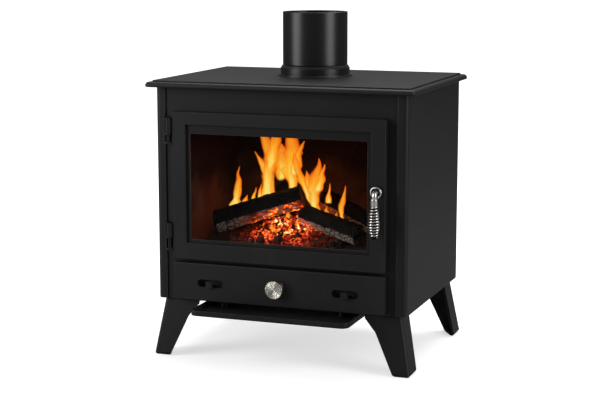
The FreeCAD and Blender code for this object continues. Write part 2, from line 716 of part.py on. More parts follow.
def latch_cam():
    """Finger behind the door, pointing down while the handle hangs."""
    boss = rod(V(LATCH_X, CAM_Y[0], LATCH_Z), V(LATCH_X, CAM_Y[1], LATCH_Z), SPINDLE_R + 1.5)
    finger = plate_xz((LATCH_X - CAM_HALF, LATCH_X + CAM_HALF), (LATCH_Z - CAM_REACH, LATCH_Z), CAM_Y, 2.0)
    bore = rod(V(LATCH_X, CAM_Y[0], LATCH_Z), V(LATCH_X, CAM_Y[1], LATCH_Z), SPINDLE_R)
    return boss.fuse(finger).cut(bore).removeSplitter()


def handle_rod():
    """Round bar that leaves the door, bends down and hangs through the coil."""
    bend_y = HANDLE_Y + HANDLE_BEND_R
    out = rod(V(LATCH_X, HANDLE_START_Y, LATCH_Z), V(LATCH_X, bend_y, LATCH_Z), HANDLE_ROD_R)
    down_from = V(LATCH_X, HANDLE_Y, LATCH_Z - HANDLE_BEND_R)
    down = rod(down_from, V(LATCH_X, HANDLE_Y, HANDLE_END_Z), HANDLE_ROD_R)
    section = Part.Face(Part.Wire(Part.makeCircle(HANDLE_ROD_R, V(LATCH_X, bend_y, LATCH_Z), V(0, -1, 0))))
    elbow = section.revolve(V(LATCH_X, bend_y, LATCH_Z - HANDLE_BEND_R), V(1, 0, 0), 90)
    ferrule = rod(V(LATCH_X, HANDLE_Y, FERRULE_Z[0]), V(LATCH_X, HANDLE_Y, FERRULE_Z[1]), FERRULE_R)
    ferrule = fillet(ferrule, 1.2, lambda b: b.ZMin > FERRULE_Z[1] - 0.01)
    return out.fuse(elbow).fuse(down).fuse(ferrule).removeSplitter()


def handle_coil():
    """Barrel shaped spring grip, as the sleeve that encloses it."""
    centre = V(LATCH_X, HANDLE_Y, 0)
    outer = [centre + V(r, 0, z) for r, z in COIL]
    curve = Part.BSplineCurve()
    curve.interpolate(outer)
    inner = [centre + V(HANDLE_ROD_R, 0, z) for _r, z in (COIL[-1], COIL[0])]
    edges = [curve.toShape(), Part.LineSegment(outer[-1], inner[0]).toShape(),
             Part.LineSegment(inner[0], inner[1]).toShape(), Part.LineSegment(inner[1], outer[0]).toShape()]
    return Part.Face(Part.Wire(edges)).revolve(centre, V(0, 0, 1), 360)


# ---------------------------------------------------------------- ash drawer

def slot(side, y):
    """Air slot with round ends, cut through the drawer front."""
    centre = side * SLOT_X
    half_x, half_z = SLOT_HALF
    return plate_xz((centre - half_x, centre + half_x), (SLOT_Z - half_z, SLOT_Z + half_z), y, half_z - 0.05)


def drawer_front():
    thickness = (DOOR_FRONT, DOOR_BACK)
    front = plate_xz(both(DOOR_X), DRAWER_Z, thickness, 3.0)
    front = fillet(front, 2.0, lambda b: b.YMax < DOOR_FRONT + 0.01)
    for side in (-1, 1):
        front = front.cut(slot(side, thickness))
    front = front.cut(rod(V(0, DOOR_FRONT - 1, KNOB_Z), V(0, DOOR_BACK + 1, KNOB_Z), KNOB_SCREW_R))
    for x, z in drawer_screw_places():
        front = front.cut(rod(V(x, DOOR_BACK - 7, z), V(x, DOOR_BACK, z), 2.0))
    return front


def rail(side):
    """One of the two rails behind the drawer front. side is 1 above the sliders, -1 below."""
    edge = SLIDER_HALF[1] + RAIL_GAP
    body = sorted((SLOT_Z + side * edge, SLOT_Z + side * (edge + 9.7)))
    lip = sorted((SLOT_Z + side * (edge - 3.3), SLOT_Z + side * (edge + 1)))
    bar = box(both(RAIL_X), (DOOR_BACK, RAIL_BACK), body)
    bar = bar.fuse(box(both(RAIL_X), (SLIDER_Y[1] + RAIL_GAP, RAIL_BACK), lip)).removeSplitter()
    for x, z in drawer_screw_places():
        bar = bar.cut(rod(V(x, DOOR_BACK - 1, z), V(x, RAIL_BACK + 1, z), 2.0))
    return bar


def drawer_screw_places():
    offset = SLIDER_HALF[1] + 5.5
    return [(sx * DRAWER_SCREW_X, SLOT_Z + sz * offset) for sx in (-1, 1) for sz in (-1, 1)]


def drawer_screws():
    screws = []
    for x, z in drawer_screw_places():
        wall_back = PAN_Y[0] + PAN_WALL
        head = rod(V(x, wall_back, z), V(x, wall_back + 2.5, z), 4.0)
        screws.append(head.fuse(rod(V(x, DOOR_BACK - 7, z), V(x, wall_back + 1, z), 2.0)).removeSplitter())
    return screws


def ash_pan():
    wall = PAN_WALL
    pan = plate_xy(both(PAN_X), PAN_Y, PAN_Z, (0, 0, 6.0, 6.0))
    inside = plate_xy(both(PAN_X - wall), (PAN_Y[0] + wall, PAN_Y[1] - wall), (PAN_Z[0] + wall, PAN_Z[1] + 1),
                      (0, 0, 4.0, 4.0))
    pan = pan.cut(inside)
    for x, z in drawer_screw_places():
        pan = pan.cut(rod(V(x, PAN_Y[0] - 1, z), V(x, PAN_Y[0] + wall + 1, z), 2.0))
    return pan


def drawer_knob():
    """Spun knob: a flange on the drawer, a waist and a thick disc with a slightly domed face."""
    face = KNOB_LENGTH
    profile = [(0, 9.0), (KNOB_SCREW_R, 9.0), (KNOB_SCREW_R, 0), (KNOB_FLANGE_R - 0.8, 0),
               (KNOB_FLANGE_R, 0.8), (KNOB_FLANGE_R, 2.6), (KNOB_FLANGE_R - 1.2, 3.6), (KNOB_WAIST_R, 4.2),
               (KNOB_WAIST_R, 7.4), (KNOB_R - 1.0, 8.2), (KNOB_R, 9.2), (KNOB_R, face - 1.9),
               (KNOB_R - 1.3, face - 0.5), (0, face)]
    return facing_front(spun(profile, V(0, 0, 0)), V(0, DOOR_FRONT, KNOB_Z))


def knob_screw():
    head = rod(V(0, DOOR_BACK, KNOB_Z), V(0, DOOR_BACK + 3.5, KNOB_Z), 5.0)
    shank = rod(V(0, DOOR_FRONT - 9, KNOB_Z), V(0, DOOR_BACK + 1, KNOB_Z), KNOB_SCREW_R)
    return head.fuse(shank).removeSplitter()


def air_slider(side):
    """Plate behind an air slot with a bent finger tab that comes out through it."""
    centre = side * SLOT_X
    half_x, half_z = SLIDER_HALF
    plate = plate_xz((centre - half_x, centre + half_x), (SLOT_Z - half_z, SLOT_Z + half_z), SLIDER_Y, 1.0)
    tab_x = (centre - SLIDER_TAB_HALF, centre + SLIDER_TAB_HALF)
    stem_z = [SLOT_Z + z for z in SLIDER_STEM_Z]
    tab_z = [SLOT_Z + z for z in SLIDER_TAB_Z]
    stem = box(tab_x, (SLIDER_TAB_FRONT, SLIDER_Y[0] + 1), stem_z)
    lip = box(tab_x, (SLIDER_TAB_FRONT, SLIDER_TAB_FRONT + 2), tab_z)
    return plate.fuse(stem).fuse(lip).removeSplitter()


def drawer_runners():
    """Two angle runners on the base plate."""
    runners = []
    floor = BODY_BOTTOM + SHEET
    for side in (-1, 1):
        foot_x = sorted((side * RUNNER_X[0], side * RUNNER_X[1]))
        wall_x = sorted((side * (PAN_X + 2), side * RUNNER_X[1]))
        low = box(foot_x, RUNNER_Y, (floor, RUNNER_TOP))
        wall = box(wall_x, RUNNER_Y, (floor, RUNNER_WALL_TOP))
        runners.append(low.fuse(wall).removeSplitter())
    return runners


# ---------------------------------------------------------------- firebox

def hearth_plate():
    plate = box(both(INNER_X), (PLATE_BACK, REAR_FACE), (HEARTH_Z, HEARTH_Z + SHEET))
    return plate.cut(box(both(HEARTH_HOLE[0]), both(HEARTH_HOLE[1]), (HEARTH_Z - 1, HEARTH_Z + SHEET + 1)))


def hearth_supports():
    """Angle bars inside the side panels, under the hearth plate."""
    bars = []
    for side in (-1, 1):
        shelf_x = sorted((side * LEDGE_X[0], side * INNER_X))
        wall_x = sorted((side * LEDGE_X[1], side * INNER_X))
        shelf = box(shelf_x, both(LEDGE_Y), (HEARTH_Z - LEDGE_SHELF, HEARTH_Z))
        wall = box(wall_x, both(LEDGE_Y), (HEARTH_Z - LEDGE_DEPTH, HEARTH_Z - LEDGE_SHELF + 1))
        bars.append(shelf.fuse(wall).removeSplitter())
    return bars


def grate():
    """Cast grate with two rows of slots."""
    plate = plate_xy(both(GRATE_X), both(GRATE_Y), (HEARTH_Z + SHEET, GRATE_Z), (4.0,) * 4)
    for i in range(-5, 6):
        for row in (-1, 1):
            y = sorted((row * GRATE_SLOT_Y[0], row * GRATE_SLOT_Y[1]))
            x = (i * GRATE_PITCH - GRATE_SLOT_HALF, i * GRATE_PITCH + GRATE_SLOT_HALF)
            plate = plate.cut(plate_xy(x, y, (HEARTH_Z, GRATE_Z + 1), (4.0,) * 4))
    return plate


def firebrick_side(side):
    x = sorted((side * (INNER_X - BRICK), side * INNER_X))
    brick = box(x, BRICK_Y, (HEARTH_Z + SHEET, BRICK_TOP))
    return brick


def firebrick_rear():
    return box(both(INNER_X), (BRICK_Y[1], REAR_FACE), (HEARTH_Z + SHEET, BRICK_TOP))


def log_guard():
    """Low bar in front of the fire, on two feet."""
    low = HEARTH_Z + SHEET
    depth = (GUARD_Y, GUARD_Y + GUARD_SHEET)
    place, half = GUARD_FEET
    bar = box(both(GUARD_X), depth, (low + GUARD_LIFT, GUARD_TOP))
    for x in both(place):
        bar = bar.fuse(box((x - half, x + half), depth, (low, low + GUARD_LIFT + 1)))
    return bar.removeSplitter()


def baffle_section(drop, thickness):
    """Sloping outline in the YZ plane, a given drop under the baffle line."""
    rear_y, rear_z = BAFFLE_REAR
    front_y, front_z = BAFFLE_FRONT
    return [V(0, rear_y, rear_z - drop), V(0, front_y, front_z - drop),
            V(0, front_y, front_z - drop + thickness), V(0, rear_y, rear_z - drop + thickness)]


def baffle_plate():
    plate = prism(baffle_section(0, BAFFLE_THICK), [0] * 4, V(2 * INNER_X - 2, 0, 0))
    plate.translate(V(1 - INNER_X, 0, 0))
    return plate


def baffle_ledges():
    ledges = []
    for side in (-1, 1):
        bar = prism(baffle_section(6, 6), [0] * 4, V(18, 0, 0))
        bar.translate(V(INNER_X - 18 if side > 0 else -INNER_X, 0, 0))
        above_bricks = box(both(BODY_X), (-200, 200), (BRICK_TOP, BODY_TOP))
        ledges.append(bar.common(above_bricks))
    return ledges


def airwash_duct():
    """Channel that leads air down over the glass."""
    shelf = box(both(DUCT_X), (PLATE_BACK, DUCT_Y), (DUCT_Z[0], DUCT_Z[0] + DUCT_SHEET))
    wall = box(both(DUCT_X), (DUCT_Y - DUCT_SHEET, DUCT_Y), DUCT_Z)
    return shelf.fuse(wall).removeSplitter()


def log_solid(start, end, radius):
    """A split log: an uneven section pushed along its axis."""
    axis = end - start
    along = axis * (1 / axis.Length)
    side = along.cross(V(0, 0, 1))
    side = side * (1 / side.Length)
    up = side.cross(along)
    points = []
    for angle, share in LOG_SECTION:
        turn = math.radians(angle)
        across = side * math.cos(turn) + up * math.sin(turn)
        points.append(start + across * (radius * share))
    return prism(points, [3.0] * len(points), axis)


def fire():
    """The logs, each trimmed to the ones before it, and the ember bed trimmed to them all."""
    made = {}
    for name, (start, end, radius) in LOGS.items():
        log = log_solid(start, end, radius)
        for other in made.values():
            log = log.cut(other)
        made[name] = max(log.Solids, key=lambda s: s.Volume)
    x, y, base_r, top_r, height = MOUND
    bed = plate_xy(both(EMBER_X), both(EMBER_Y), (GRATE_Z, EMBER_TOP), (20.0,) * 4)
    bed = bed.fuse(Part.makeCone(base_r, top_r, height, V(x, y, EMBER_TOP - 0.01), V(0, 0, 1)))
    for log in made.values():
        bed = bed.cut(log)
    made["ember_bed"] = max(bed.Solids, key=lambda s: s.Volume)
    return made


# ---------------------------------------------------------------- all nodes

def build():
    save("base_plate", base_plate())
    right_panel = side_panel()
    save("side_panel_right", right_panel)
    save("side_panel_left", mirrored(right_panel, True, False))
    save("front_plate", front_plate())
    save("rear_panel", rear_panel())
    save("top_plate", top_plate())
    save("top_plate_tabs", top_plate_tabs())
    save("top_plate_bolts", top_plate_bolts())

    save("flue_collar", flue_collar())
    save("flue_seal", flue_seal())
    save("flue_pipe", flue_pipe())
    save("flue_clamp_ring", flue_clamp_ring())
    save("flue_clamp_screws", flue_clamp_screws())

    one_foot = foot()
    save("leg_front_right", one_foot)
    save("leg_front_left", mirrored(one_foot, True, False))
    save("leg_rear_right", mirrored(one_foot, False, True))
    save("leg_rear_left", mirrored(one_foot, True, True))
    save("leg_bolts", leg_bolts())

    save("ash_lip", ash_lip())
    save("ash_lip_spacers", ash_lip_spacers())
    save("ash_lip_bolts", ash_lip_bolts())

    save("door_frame", door_frame())
    save("glass_surround", glass_surround())
    save("glass_gasket", glass_gasket())
    save("door_glass", door_glass())
    save("glass_clips", glass_clips())
    save("glass_clip_screws", glass_clip_screws())
    save("door_rope_seal", rope_ring(ROPE_FRONT, ROPE_BACK))
    save("handle_rosette", handle_rosette())
    for name, (low, middle, high) in HINGES.items():
        save("hinge_bracket_" + name, hinge_bracket(low, middle, high))
        save("door_knuckle_" + name, door_knuckle(middle, high))
    save("hinge_pins", [hinge_pin(low, high) for low, _middle, high in HINGES.values()])

    save("latch_spindle", latch_spindle())
    save("latch_cam", latch_cam())
    save("handle_rod", handle_rod())
    save("handle_coil", handle_coil())

    save("drawer_front", drawer_front())
    save("slider_rails", [rail(1), rail(-1)])
    save("drawer_screws", drawer_screws() + [knob_screw()])
    save("ash_pan", ash_pan())
    save("drawer_knob", drawer_knob())
    save("air_slider_left", air_slider(-1))
    save("air_slider_right", air_slider(1))
    save("drawer_runners", drawer_runners())

    save("hearth_plate", hearth_plate())
    save("grate", grate())
    save("firebrick_left", firebrick_side(-1))
    save("firebrick_right", firebrick_side(1))
    save("firebrick_rear", firebrick_rear())
    save("log_guard", log_guard())
    save("baffle_plate", baffle_plate())
    save("firebox_ledges", hearth_supports() + baffle_ledges())
    save("airwash_duct", airwash_duct())
    for name, solid in fire().items():
        save(name, solid)


build()
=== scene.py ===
# %% [markdown]
# ## A wood burning stove, lit
# The steel shell, the door, the drawer and the flue are finished parts that arrive with the frame,
# each at its real place and size in metres. This lesson gives them softened edges and real
# finishes, winds the spring of the door handle, builds the logs, the embers and the flames, and
# then sets up a small studio. X is the width, the door faces -Y and Z is up.

# %% Load the frame of the stove
import json
import math
import random

import bpy
from mathutils import Matrix, Vector, noise


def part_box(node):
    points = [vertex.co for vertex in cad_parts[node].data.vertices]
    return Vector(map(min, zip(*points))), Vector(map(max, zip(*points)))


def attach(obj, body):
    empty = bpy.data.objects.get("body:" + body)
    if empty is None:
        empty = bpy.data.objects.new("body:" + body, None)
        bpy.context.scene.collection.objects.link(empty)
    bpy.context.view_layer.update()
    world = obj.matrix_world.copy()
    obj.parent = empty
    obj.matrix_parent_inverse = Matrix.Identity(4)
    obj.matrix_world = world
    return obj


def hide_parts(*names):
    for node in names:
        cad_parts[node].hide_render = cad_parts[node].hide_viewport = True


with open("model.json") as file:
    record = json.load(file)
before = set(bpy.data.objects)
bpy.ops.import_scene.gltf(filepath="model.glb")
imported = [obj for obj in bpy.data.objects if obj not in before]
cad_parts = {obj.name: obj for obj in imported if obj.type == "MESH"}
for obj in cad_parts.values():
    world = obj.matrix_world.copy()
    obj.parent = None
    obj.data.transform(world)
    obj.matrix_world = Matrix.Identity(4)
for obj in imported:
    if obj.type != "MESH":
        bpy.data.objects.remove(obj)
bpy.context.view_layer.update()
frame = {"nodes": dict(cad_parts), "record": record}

side_low, side_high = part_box("side_panel_left")
BODY_Y = (side_low.y + side_high.y) / 2    # the middle of the body, front to back
MM = 0.001                                 # a millimetre, in metres

# %% [markdown]
# ## Selecting and editing from code
# An operator acts on whatever is selected, and the frame arrives selected. So a piece is always
# picked alone first. A with block opens edit mode and is sure to leave it again.

# %% Picking, editing and applying
class Editing:
    """with Editing(piece): the operators inside act on that piece's mesh."""

    def __init__(self, piece):
        self.piece = piece

    def __enter__(self):
        pick(self.piece)
        bpy.ops.object.mode_set(mode="EDIT")
        bpy.ops.mesh.select_all(action="SELECT")

    def __exit__(self, *problem):
        bpy.ops.object.mode_set(mode="OBJECT")


def pick(*pieces):
    """Selects these pieces and nothing else."""
    bpy.ops.object.select_all(action="DESELECT")
    for piece in pieces:
        piece.select_set(True)
    bpy.context.view_layer.objects.active = pieces[-1]


def modify(piece, kind, **settings):
    """Adds a modifier, sets it and applies it."""
    pick(piece)
    modifier = piece.modifiers.new(kind.title(), kind)
    for name, value in settings.items():
        setattr(modifier, name, value)
    bpy.ops.object.modifier_apply(modifier=modifier.name)


def settle(piece, angle=40):
    """Puts the piece's place into its mesh and smooths faces that meet at less than the angle."""
    pick(piece)
    bpy.ops.object.transform_apply(location=True, rotation=True, scale=True)
    bpy.ops.object.shade_smooth_by_angle(angle=math.radians(angle))


def made(name):
    """The piece that an operator has just added, under its own name."""
    piece = bpy.context.object
    piece.name = name
    piece.data.name = name
    return piece


bpy.ops.object.select_all(action="DESELECT")
print("nothing is selected:", not bpy.context.selected_objects)

# %% [markdown]
# ## Shader maths as plain expressions
# A finish is easier to read as arithmetic than as a list of nodes. Wire wraps one socket: adding or
# multiplying two wires adds a Math node, and its node method adds any other kind. Finish is a
# material with one Principled shader. Numbers that are the same all over go straight to it.

# %% Wires and finishes
class Wire:
    """A value that runs through a node tree."""

    def __init__(self, tree, socket):
        self.tree = tree
        self.socket = socket

    def node(self, kind, settings=None, out=0, **inputs):
        """Adds a node. An input is named, with _ for a space, or numbered, as in_0."""
        node = self.tree.nodes.new("ShaderNode" + kind)
        for name, value in (settings or {}).items():
            if name == "stops":
                set_stops(node.color_ramp, value)
            else:
                setattr(node, name, value)
        for name, value in inputs.items():
            if name.startswith("in_"):
                target = node.inputs[int(name[3:])]
            else:
                target = node.inputs[name.replace("_", " ")]
            if isinstance(value, Wire):
                self.tree.links.new(value.socket, target)
            else:
                target.default_value = value
        return Wire(self.tree, node.outputs[out])

    def math(self, operation, first, second=0.0):
        return self.node("Math", {"operation": operation}, in_0=first, in_1=second)

    def __add__(self, other):
        return self.math("ADD", self, other)

    def __radd__(self, other):
        return self.math("ADD", other, self)

    def __sub__(self, other):
        return self.math("SUBTRACT", self, other)

    def __rsub__(self, other):
        return self.math("SUBTRACT", other, self)

    def __mul__(self, other):
        return self.math("MULTIPLY", self, other)

    def __rmul__(self, other):
        return self.math("MULTIPLY", other, self)

    def sine(self):
        return self.math("SINE", self)

    def step(self, low, high):
        """0 below low, 1 above high, and a smooth rise between them. Works downhill too."""
        settings = {"interpolation_type": "SMOOTHSTEP"}
        if low < high:
            return self.node("MapRange", settings, Value=self, From_Min=low, From_Max=high)
        return self.node("MapRange", settings, Value=self, From_Min=high, From_Max=low,
                         To_Min=1.0, To_Max=0.0)

    def mix(self, first, second):
        """The first colour where this wire is 0, the second where it is 1."""
        return self.node("Mix", {"data_type": "RGBA"}, out=2, in_0=self, in_6=first, in_7=second)

    def ramp(self, *stops):
        """A colour ramp with (place, colour) stops."""
        return self.node("ValToRGB", {"stops": stops}, in_0=self)

    def axis(self, index):
        """The X, Y or Z of a vector."""
        return self.node("SeparateXYZ", out=index, Vector=self)

    def clouds(self, scale, detail=3.0, rough=0.55):
        """Soft noise from 0 to 1. The scale counts patches in a metre."""
        return self.node("TexNoise", Vector=self, Scale=scale, Detail=detail, Roughness=rough)

    def cracks(self, scale):
        """Distance to the nearest edge between cells: 0 on the edges."""
        return self.node("TexVoronoi", {"feature": "DISTANCE_TO_EDGE"}, Vector=self, Scale=scale)

    def stretched(self, *sizes):
        """The same pattern coordinates, scaled by these factors in X, Y and Z."""
        return self.node("VectorMath", {"operation": "MULTIPLY"}, in_0=self, in_1=Vector(sizes))

    def moved(self, *offset):
        return self.node("VectorMath", {"operation": "ADD"}, in_0=self, in_1=Vector(offset))

    def length(self):
        return self.node("VectorMath", {"operation": "LENGTH"}, out=1, in_0=self)


def set_stops(ramp, stops):
    """A new ramp has two stops. One goes, and the rest are made at their place, in order."""
    ramp.elements.remove(ramp.elements[-1])
    ramp.elements[0].position = stops[0][0]
    ramp.elements[0].color = rgb(stops[0][1])
    for place, color in stops[1:]:
        ramp.elements.new(place).color = rgb(color)


def rgb(color):
    """Three numbers, or one for a grey, with the alpha that a socket wants."""
    if isinstance(color, (int, float)):
        color = (color, color, color)
    return (*color[:3], 1.0)


class Finish:
    """A material with a Principled shader and its pattern coordinates."""

    def __init__(self, name, **constants):
        self.material = bpy.data.materials.new(name)
        self.material.use_nodes = True
        self.tree = self.material.node_tree
        self.shader = self.tree.nodes["Principled BSDF"]
        for socket, value in constants.items():
            self.shader.inputs[socket.replace("_", " ")].default_value = value
        coordinates = self.tree.nodes.new("ShaderNodeTexCoord")
        self.place = Wire(self.tree, coordinates.outputs["Object"])
        self.along = Wire(self.tree, coordinates.outputs["UV"])

    def wear(self, socket, wire):
        """Sends a changing value to one socket of the shader."""
        self.tree.links.new(wire.socket, self.shader.inputs[socket.replace("_", " ")])

    def height_in(self, node):
        """0 at the foot of a part and 1 at its top."""
        low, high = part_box(node)
        return (self.place.axis(2) - low.z) * (1.0 / (high.z - low.z))

    def stored(self, name):
        """A value that was stored in the mesh."""
        node = self.tree.nodes.new("ShaderNodeAttribute")
        node.attribute_name = name
        return Wire(self.tree, node.outputs["Fac"])

    def bump(self, height, depth, strength=1.0):
        """Relief of this depth in metres."""
        relief = height.node("Bump", Height=height, Distance=depth, Strength=strength)
        self.wear("Normal", relief)

    def let_light_through(self):
        """Shadow rays pass straight, so that the light behind the pane falls in without grain."""
        path = self.tree.nodes.new("ShaderNodeLightPath")
        clear = self.tree.nodes.new("ShaderNodeBsdfTransparent")
        shown = self.shader.outputs["BSDF"]
        for ray in ("Is Diffuse Ray", "Is Shadow Ray"):
            choice = self.tree.nodes.new("ShaderNodeMixShader")
            self.tree.links.new(path.outputs[ray], choice.inputs["Fac"])
            self.tree.links.new(shown, choice.inputs[1])
            self.tree.links.new(clear.outputs["BSDF"], choice.inputs[2])
            shown = choice.outputs["Shader"]
        self.tree.links.new(shown, self.tree.nodes["Material Output"].inputs["Surface"])


print("besides sums, a Wire can", [name for name in vars(Wire) if name[0] != "_"])

# %% [markdown]
# ## Matt stove paint
# The shell is sprayed with a heat resistant paint. It dries dead flat, with a fine sandy grain that
# scatters the light, and with faint clouds where the coat is thicker. It has almost no shine of its
# own, so the roughness stays high and only drifts a little.

# %% Stove paint and door paint
SAND_IN_A_METRE = 1400.0
DUSTY = 1.35        # how much paler the paint is under dust
SPECKLED = 1.7      # and where a grain sticks out


def stove_paint(name, shade, roughness, shine):
    """Sandy matt paint. The shade is its colour, and shine the strength of its reflection."""
    finish = Finish(name, Specular_IOR_Level=shine)
    grain = finish.place.clouds(SAND_IN_A_METRE, detail=2.0)
    clouds = finish.place.clouds(9.0, detail=4.0)
    streaks = finish.place.stretched(60.0, 60.0, 6.0).clouds(1.0, detail=2.0)
    dust = clouds.step(0.45, 0.75) * 0.6 + streaks.step(0.55, 0.8) * 0.4
    color = dust.mix(rgb(shade), rgb([c * DUSTY + 0.002 for c in shade]))
    speckle = grain.step(0.62, 0.75) * 0.5
    finish.wear("Base Color", speckle.mix(color, rgb([c * SPECKLED for c in shade])))
    finish.wear("Roughness", roughness + 0.06 * (clouds - 0.5) + 0.08 * (grain - 0.5))
    finish.bump(grain, 0.00006, 0.6)
    return finish.material


shell_paint = stove_paint("matt_stove_paint", (0.0115, 0.0115, 0.0118), 0.46, 0.26)
door_paint = stove_paint("matt_door_paint", (0.0120, 0.0120, 0.0122), 0.44, 0.28)
surround_paint = stove_paint("matt_surround_paint", (0.0080, 0.0080, 0.0082), 0.42, 0.26)
# The edge strips: paler paint, partly rubbed thin and partly a painted highlight on the edges.
rubbed_and_highlit_edge = stove_paint("rubbed_and_highlit_edges", (0.050, 0.049, 0.047), 0.36, 0.55)
black_steel = stove_paint("blackened_steel", (0.0030, 0.0030, 0.0030), 0.45, 0.30)
print("painted in", shell_paint.name, "and", door_paint.name)

# %% [markdown]
# ## Satin flue enamel, cast iron and bare sheet
# The flue has a smoother coat, so it shows two long soft reflections. Castings carry the texture of
# the sand that they were poured in. Bare sheet inside the drawer has rolling lines and heat tints.

# %% Flue enamel, castings and sheet
def flue_enamel():
    """A smooth coat with a faint grain, a little uneven up the pipe."""
    finish = Finish("satin_flue_enamel", Specular_IOR_Level=0.5)
    clouds = finish.place.stretched(1.0, 1.0, 0.4).clouds(14.0)
    grain = finish.place.clouds(900.0, detail=2.0)
    finish.wear("Base Color", clouds.mix(rgb(0.005), rgb(0.009)))
    finish.wear("Roughness", 0.26 + 0.08 * clouds + 0.04 * grain)
    finish.bump(grain, 0.00003, 0.5)
    return finish.material


def casting(name, shade, tint):
    """Cast iron with the skin of the sand, and patches of rust tint."""
    finish = Finish(name, Specular_IOR_Level=0.35)
    sand = finish.place.clouds(420.0, detail=5.0, rough=0.65)
    patches = finish.place.clouds(30.0, detail=4.0)
    finish.wear("Base Color", patches.step(0.35, 0.7).mix(rgb(shade), rgb(tint)))
    finish.wear("Roughness", 0.62 + 0.25 * (sand - 0.5))
    finish.bump(sand, 0.0003, 0.8)
    return finish.material


def bare_sheet():
    """Rolled steel: long fine lines along X, and straw tints from the heat."""
    finish = Finish("bare_sheet", Metallic=1.0)
    rolling = finish.place.stretched(20.0, 900.0, 900.0).clouds(1.0, detail=2.0)
    tint = finish.place.clouds(12.0)
    finish.wear("Base Color", tint.ramp((0.3, (0.20, 0.19, 0.185)), (0.55, (0.15, 0.14, 0.14)),
                                        (0.75, (0.17, 0.13, 0.10))))
    finish.wear("Roughness", 0.34 + 0.22 * rolling)
    finish.bump(rolling, 0.00004, 0.6)
    return finish.material


satin_enamel = flue_enamel()
grate_iron = casting("grate_casting", 0.020, (0.045, 0.038, 0.034))
sheet = bare_sheet()
print("made", satin_enamel.name, grate_iron.name, "and", sheet.name)

# %% [markdown]
# ## Bright metal
# The handle is nickel plated: a mirror with fine polishing lines, a little warmer than chrome. The
# knob was turned and then brushed while it spun, so its lines are rings. Rings of relief spread
# each reflection into the fan of light and dark wedges that spun steel shows. The rod is bright
# only above the spring: inside it, its colour is painted black, for soot and as painted shade of
# the spring.

# %% Nickel, spun steel and zinc
RING_PITCH = 0.5 * MM
# The rod's colour inside the spring: soot and painted shade.
SOOT_AND_SHADE = 0.012


def nickel(name, black_below=None):
    """Polished nickel, painted black below the given height for soot and painted shade."""
    finish = Finish(name, Metallic=1.0)
    polish = finish.place.stretched(300.0, 300.0, 2500.0).clouds(1.0, detail=2.0)
    smudge = finish.place.clouds(120.0)
    bright = smudge.mix(rgb((0.90, 0.88, 0.86)), rgb((0.80, 0.79, 0.77)))
    if black_below is not None:
        # Below that height the colour is painted black: soot, and painted shade inside the spring.
        unshaded = finish.place.axis(2).step(black_below - 2 * MM, black_below)
        bright = unshaded.mix(rgb(SOOT_AND_SHADE), bright)
    finish.wear("Base Color", bright)
    finish.wear("Roughness", 0.07 + 0.05 * smudge + 0.03 * polish)
    finish.bump(polish, 0.00001, 0.4)
    return finish.material


def spun_steel(centre):
    """Rings round the centre: fine ones in the relief, and broad ones in the colour too."""
    finish = Finish("spun_steel", Metallic=1.0)
    radius = finish.place.moved(-centre.x, 0.0, -centre.z).stretched(1.0, 0.0, 1.0).length()
    rings = 0.5 + 0.5 * (radius * (2 * math.pi / RING_PITCH)).sine()
    broad = radius.node("TexNoise", {"noise_dimensions": "1D"}, W=radius, Scale=420.0, Detail=1.0)
    finish.wear("Base Color", broad.mix(rgb((0.80, 0.76, 0.70)), rgb((0.68, 0.64, 0.585))))
    finish.wear("Roughness", 0.20 + 0.10 * broad)
    finish.bump(rings * 0.9 + broad * 0.1, 0.00013, 1.0)
    return finish.material


def zinc():
    """Plated screws and bolts, with a faint spangle."""
    finish = Finish("zinc_plate", Metallic=1.0)
    spangle = finish.place.clouds(260.0, detail=2.0)
    finish.wear("Base Color", spangle.mix(rgb((0.42, 0.42, 0.43)), rgb((0.60, 0.60, 0.60))))
    finish.wear("Roughness", 0.30 + 0.25 * spangle)
    finish.bump(spangle, 0.00002, 0.5)
    return finish.material


knob_low, knob_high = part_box("drawer_knob")
bright_nickel = nickel("polished_nickel")
rod_nickel = nickel("rod_nickel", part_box("handle_coil")[1].z)
spun = spun_steel((knob_low + knob_high) / 2)
zinc_plate = zinc()
print("the knob turns about x", round((knob_low.x + knob_high.x) / 2, 3), "m")

# %% [markdown]
# ## Glass, rope and brick
# The window is clear ceramic glass. The door rope is knitted glass fibre: two sets of slanted ribs
# that cross. Firebrick is a soft pressed board, tan under the soot, and sootier as it goes up.

# %% Glass, rope and brick
SOFT_MIRROR = 1.12      # refraction that keeps the pane's own reflection faint
RIBS = 900.0            # how close the knitted ribs lie, in radians in a metre


def window_glass():
    """Clear glass with a breath of soot along its upper edge."""
    finish = Finish("ceramic_glass", Roughness=0.02, Transmission_Weight=1.0, IOR=SOFT_MIRROR)
    haze = finish.place.clouds(18.0)
    soot = finish.height_in("door_glass").step(0.80, 1.1) * haze.step(0.3, 0.8) * 0.25
    finish.wear("Base Color", soot.mix(rgb((0.98, 0.97, 0.95)), rgb((0.55, 0.47, 0.38))))
    finish.let_light_through()
    return finish.material


def knitted_rope():
    """Two sets of slanted ribs: at each place the higher one shows."""
    finish = Finish("glass_fibre_rope", Specular_IOR_Level=0.2)
    spot = finish.place
    rise = ((spot.axis(0) + spot.axis(2)) * RIBS).sine()
    fall = ((spot.axis(0) - spot.axis(2)) * RIBS).sine()
    ribs = rise.math("MAXIMUM", rise, fall)
    fibre = spot.clouds(1800.0, detail=2.0)
    weave = ribs.step(-0.4, 1.0)
    # The grooves between the ribs are painted darker than the ribs: painted shade.
    finish.wear("Base Color", weave.mix(rgb(0.018), rgb((0.085, 0.082, 0.078))))
    finish.wear("Roughness", 0.80 + 0.15 * fibre)
    finish.bump(weave + 0.3 * fibre, 0.0008, 0.8)
    return finish.material


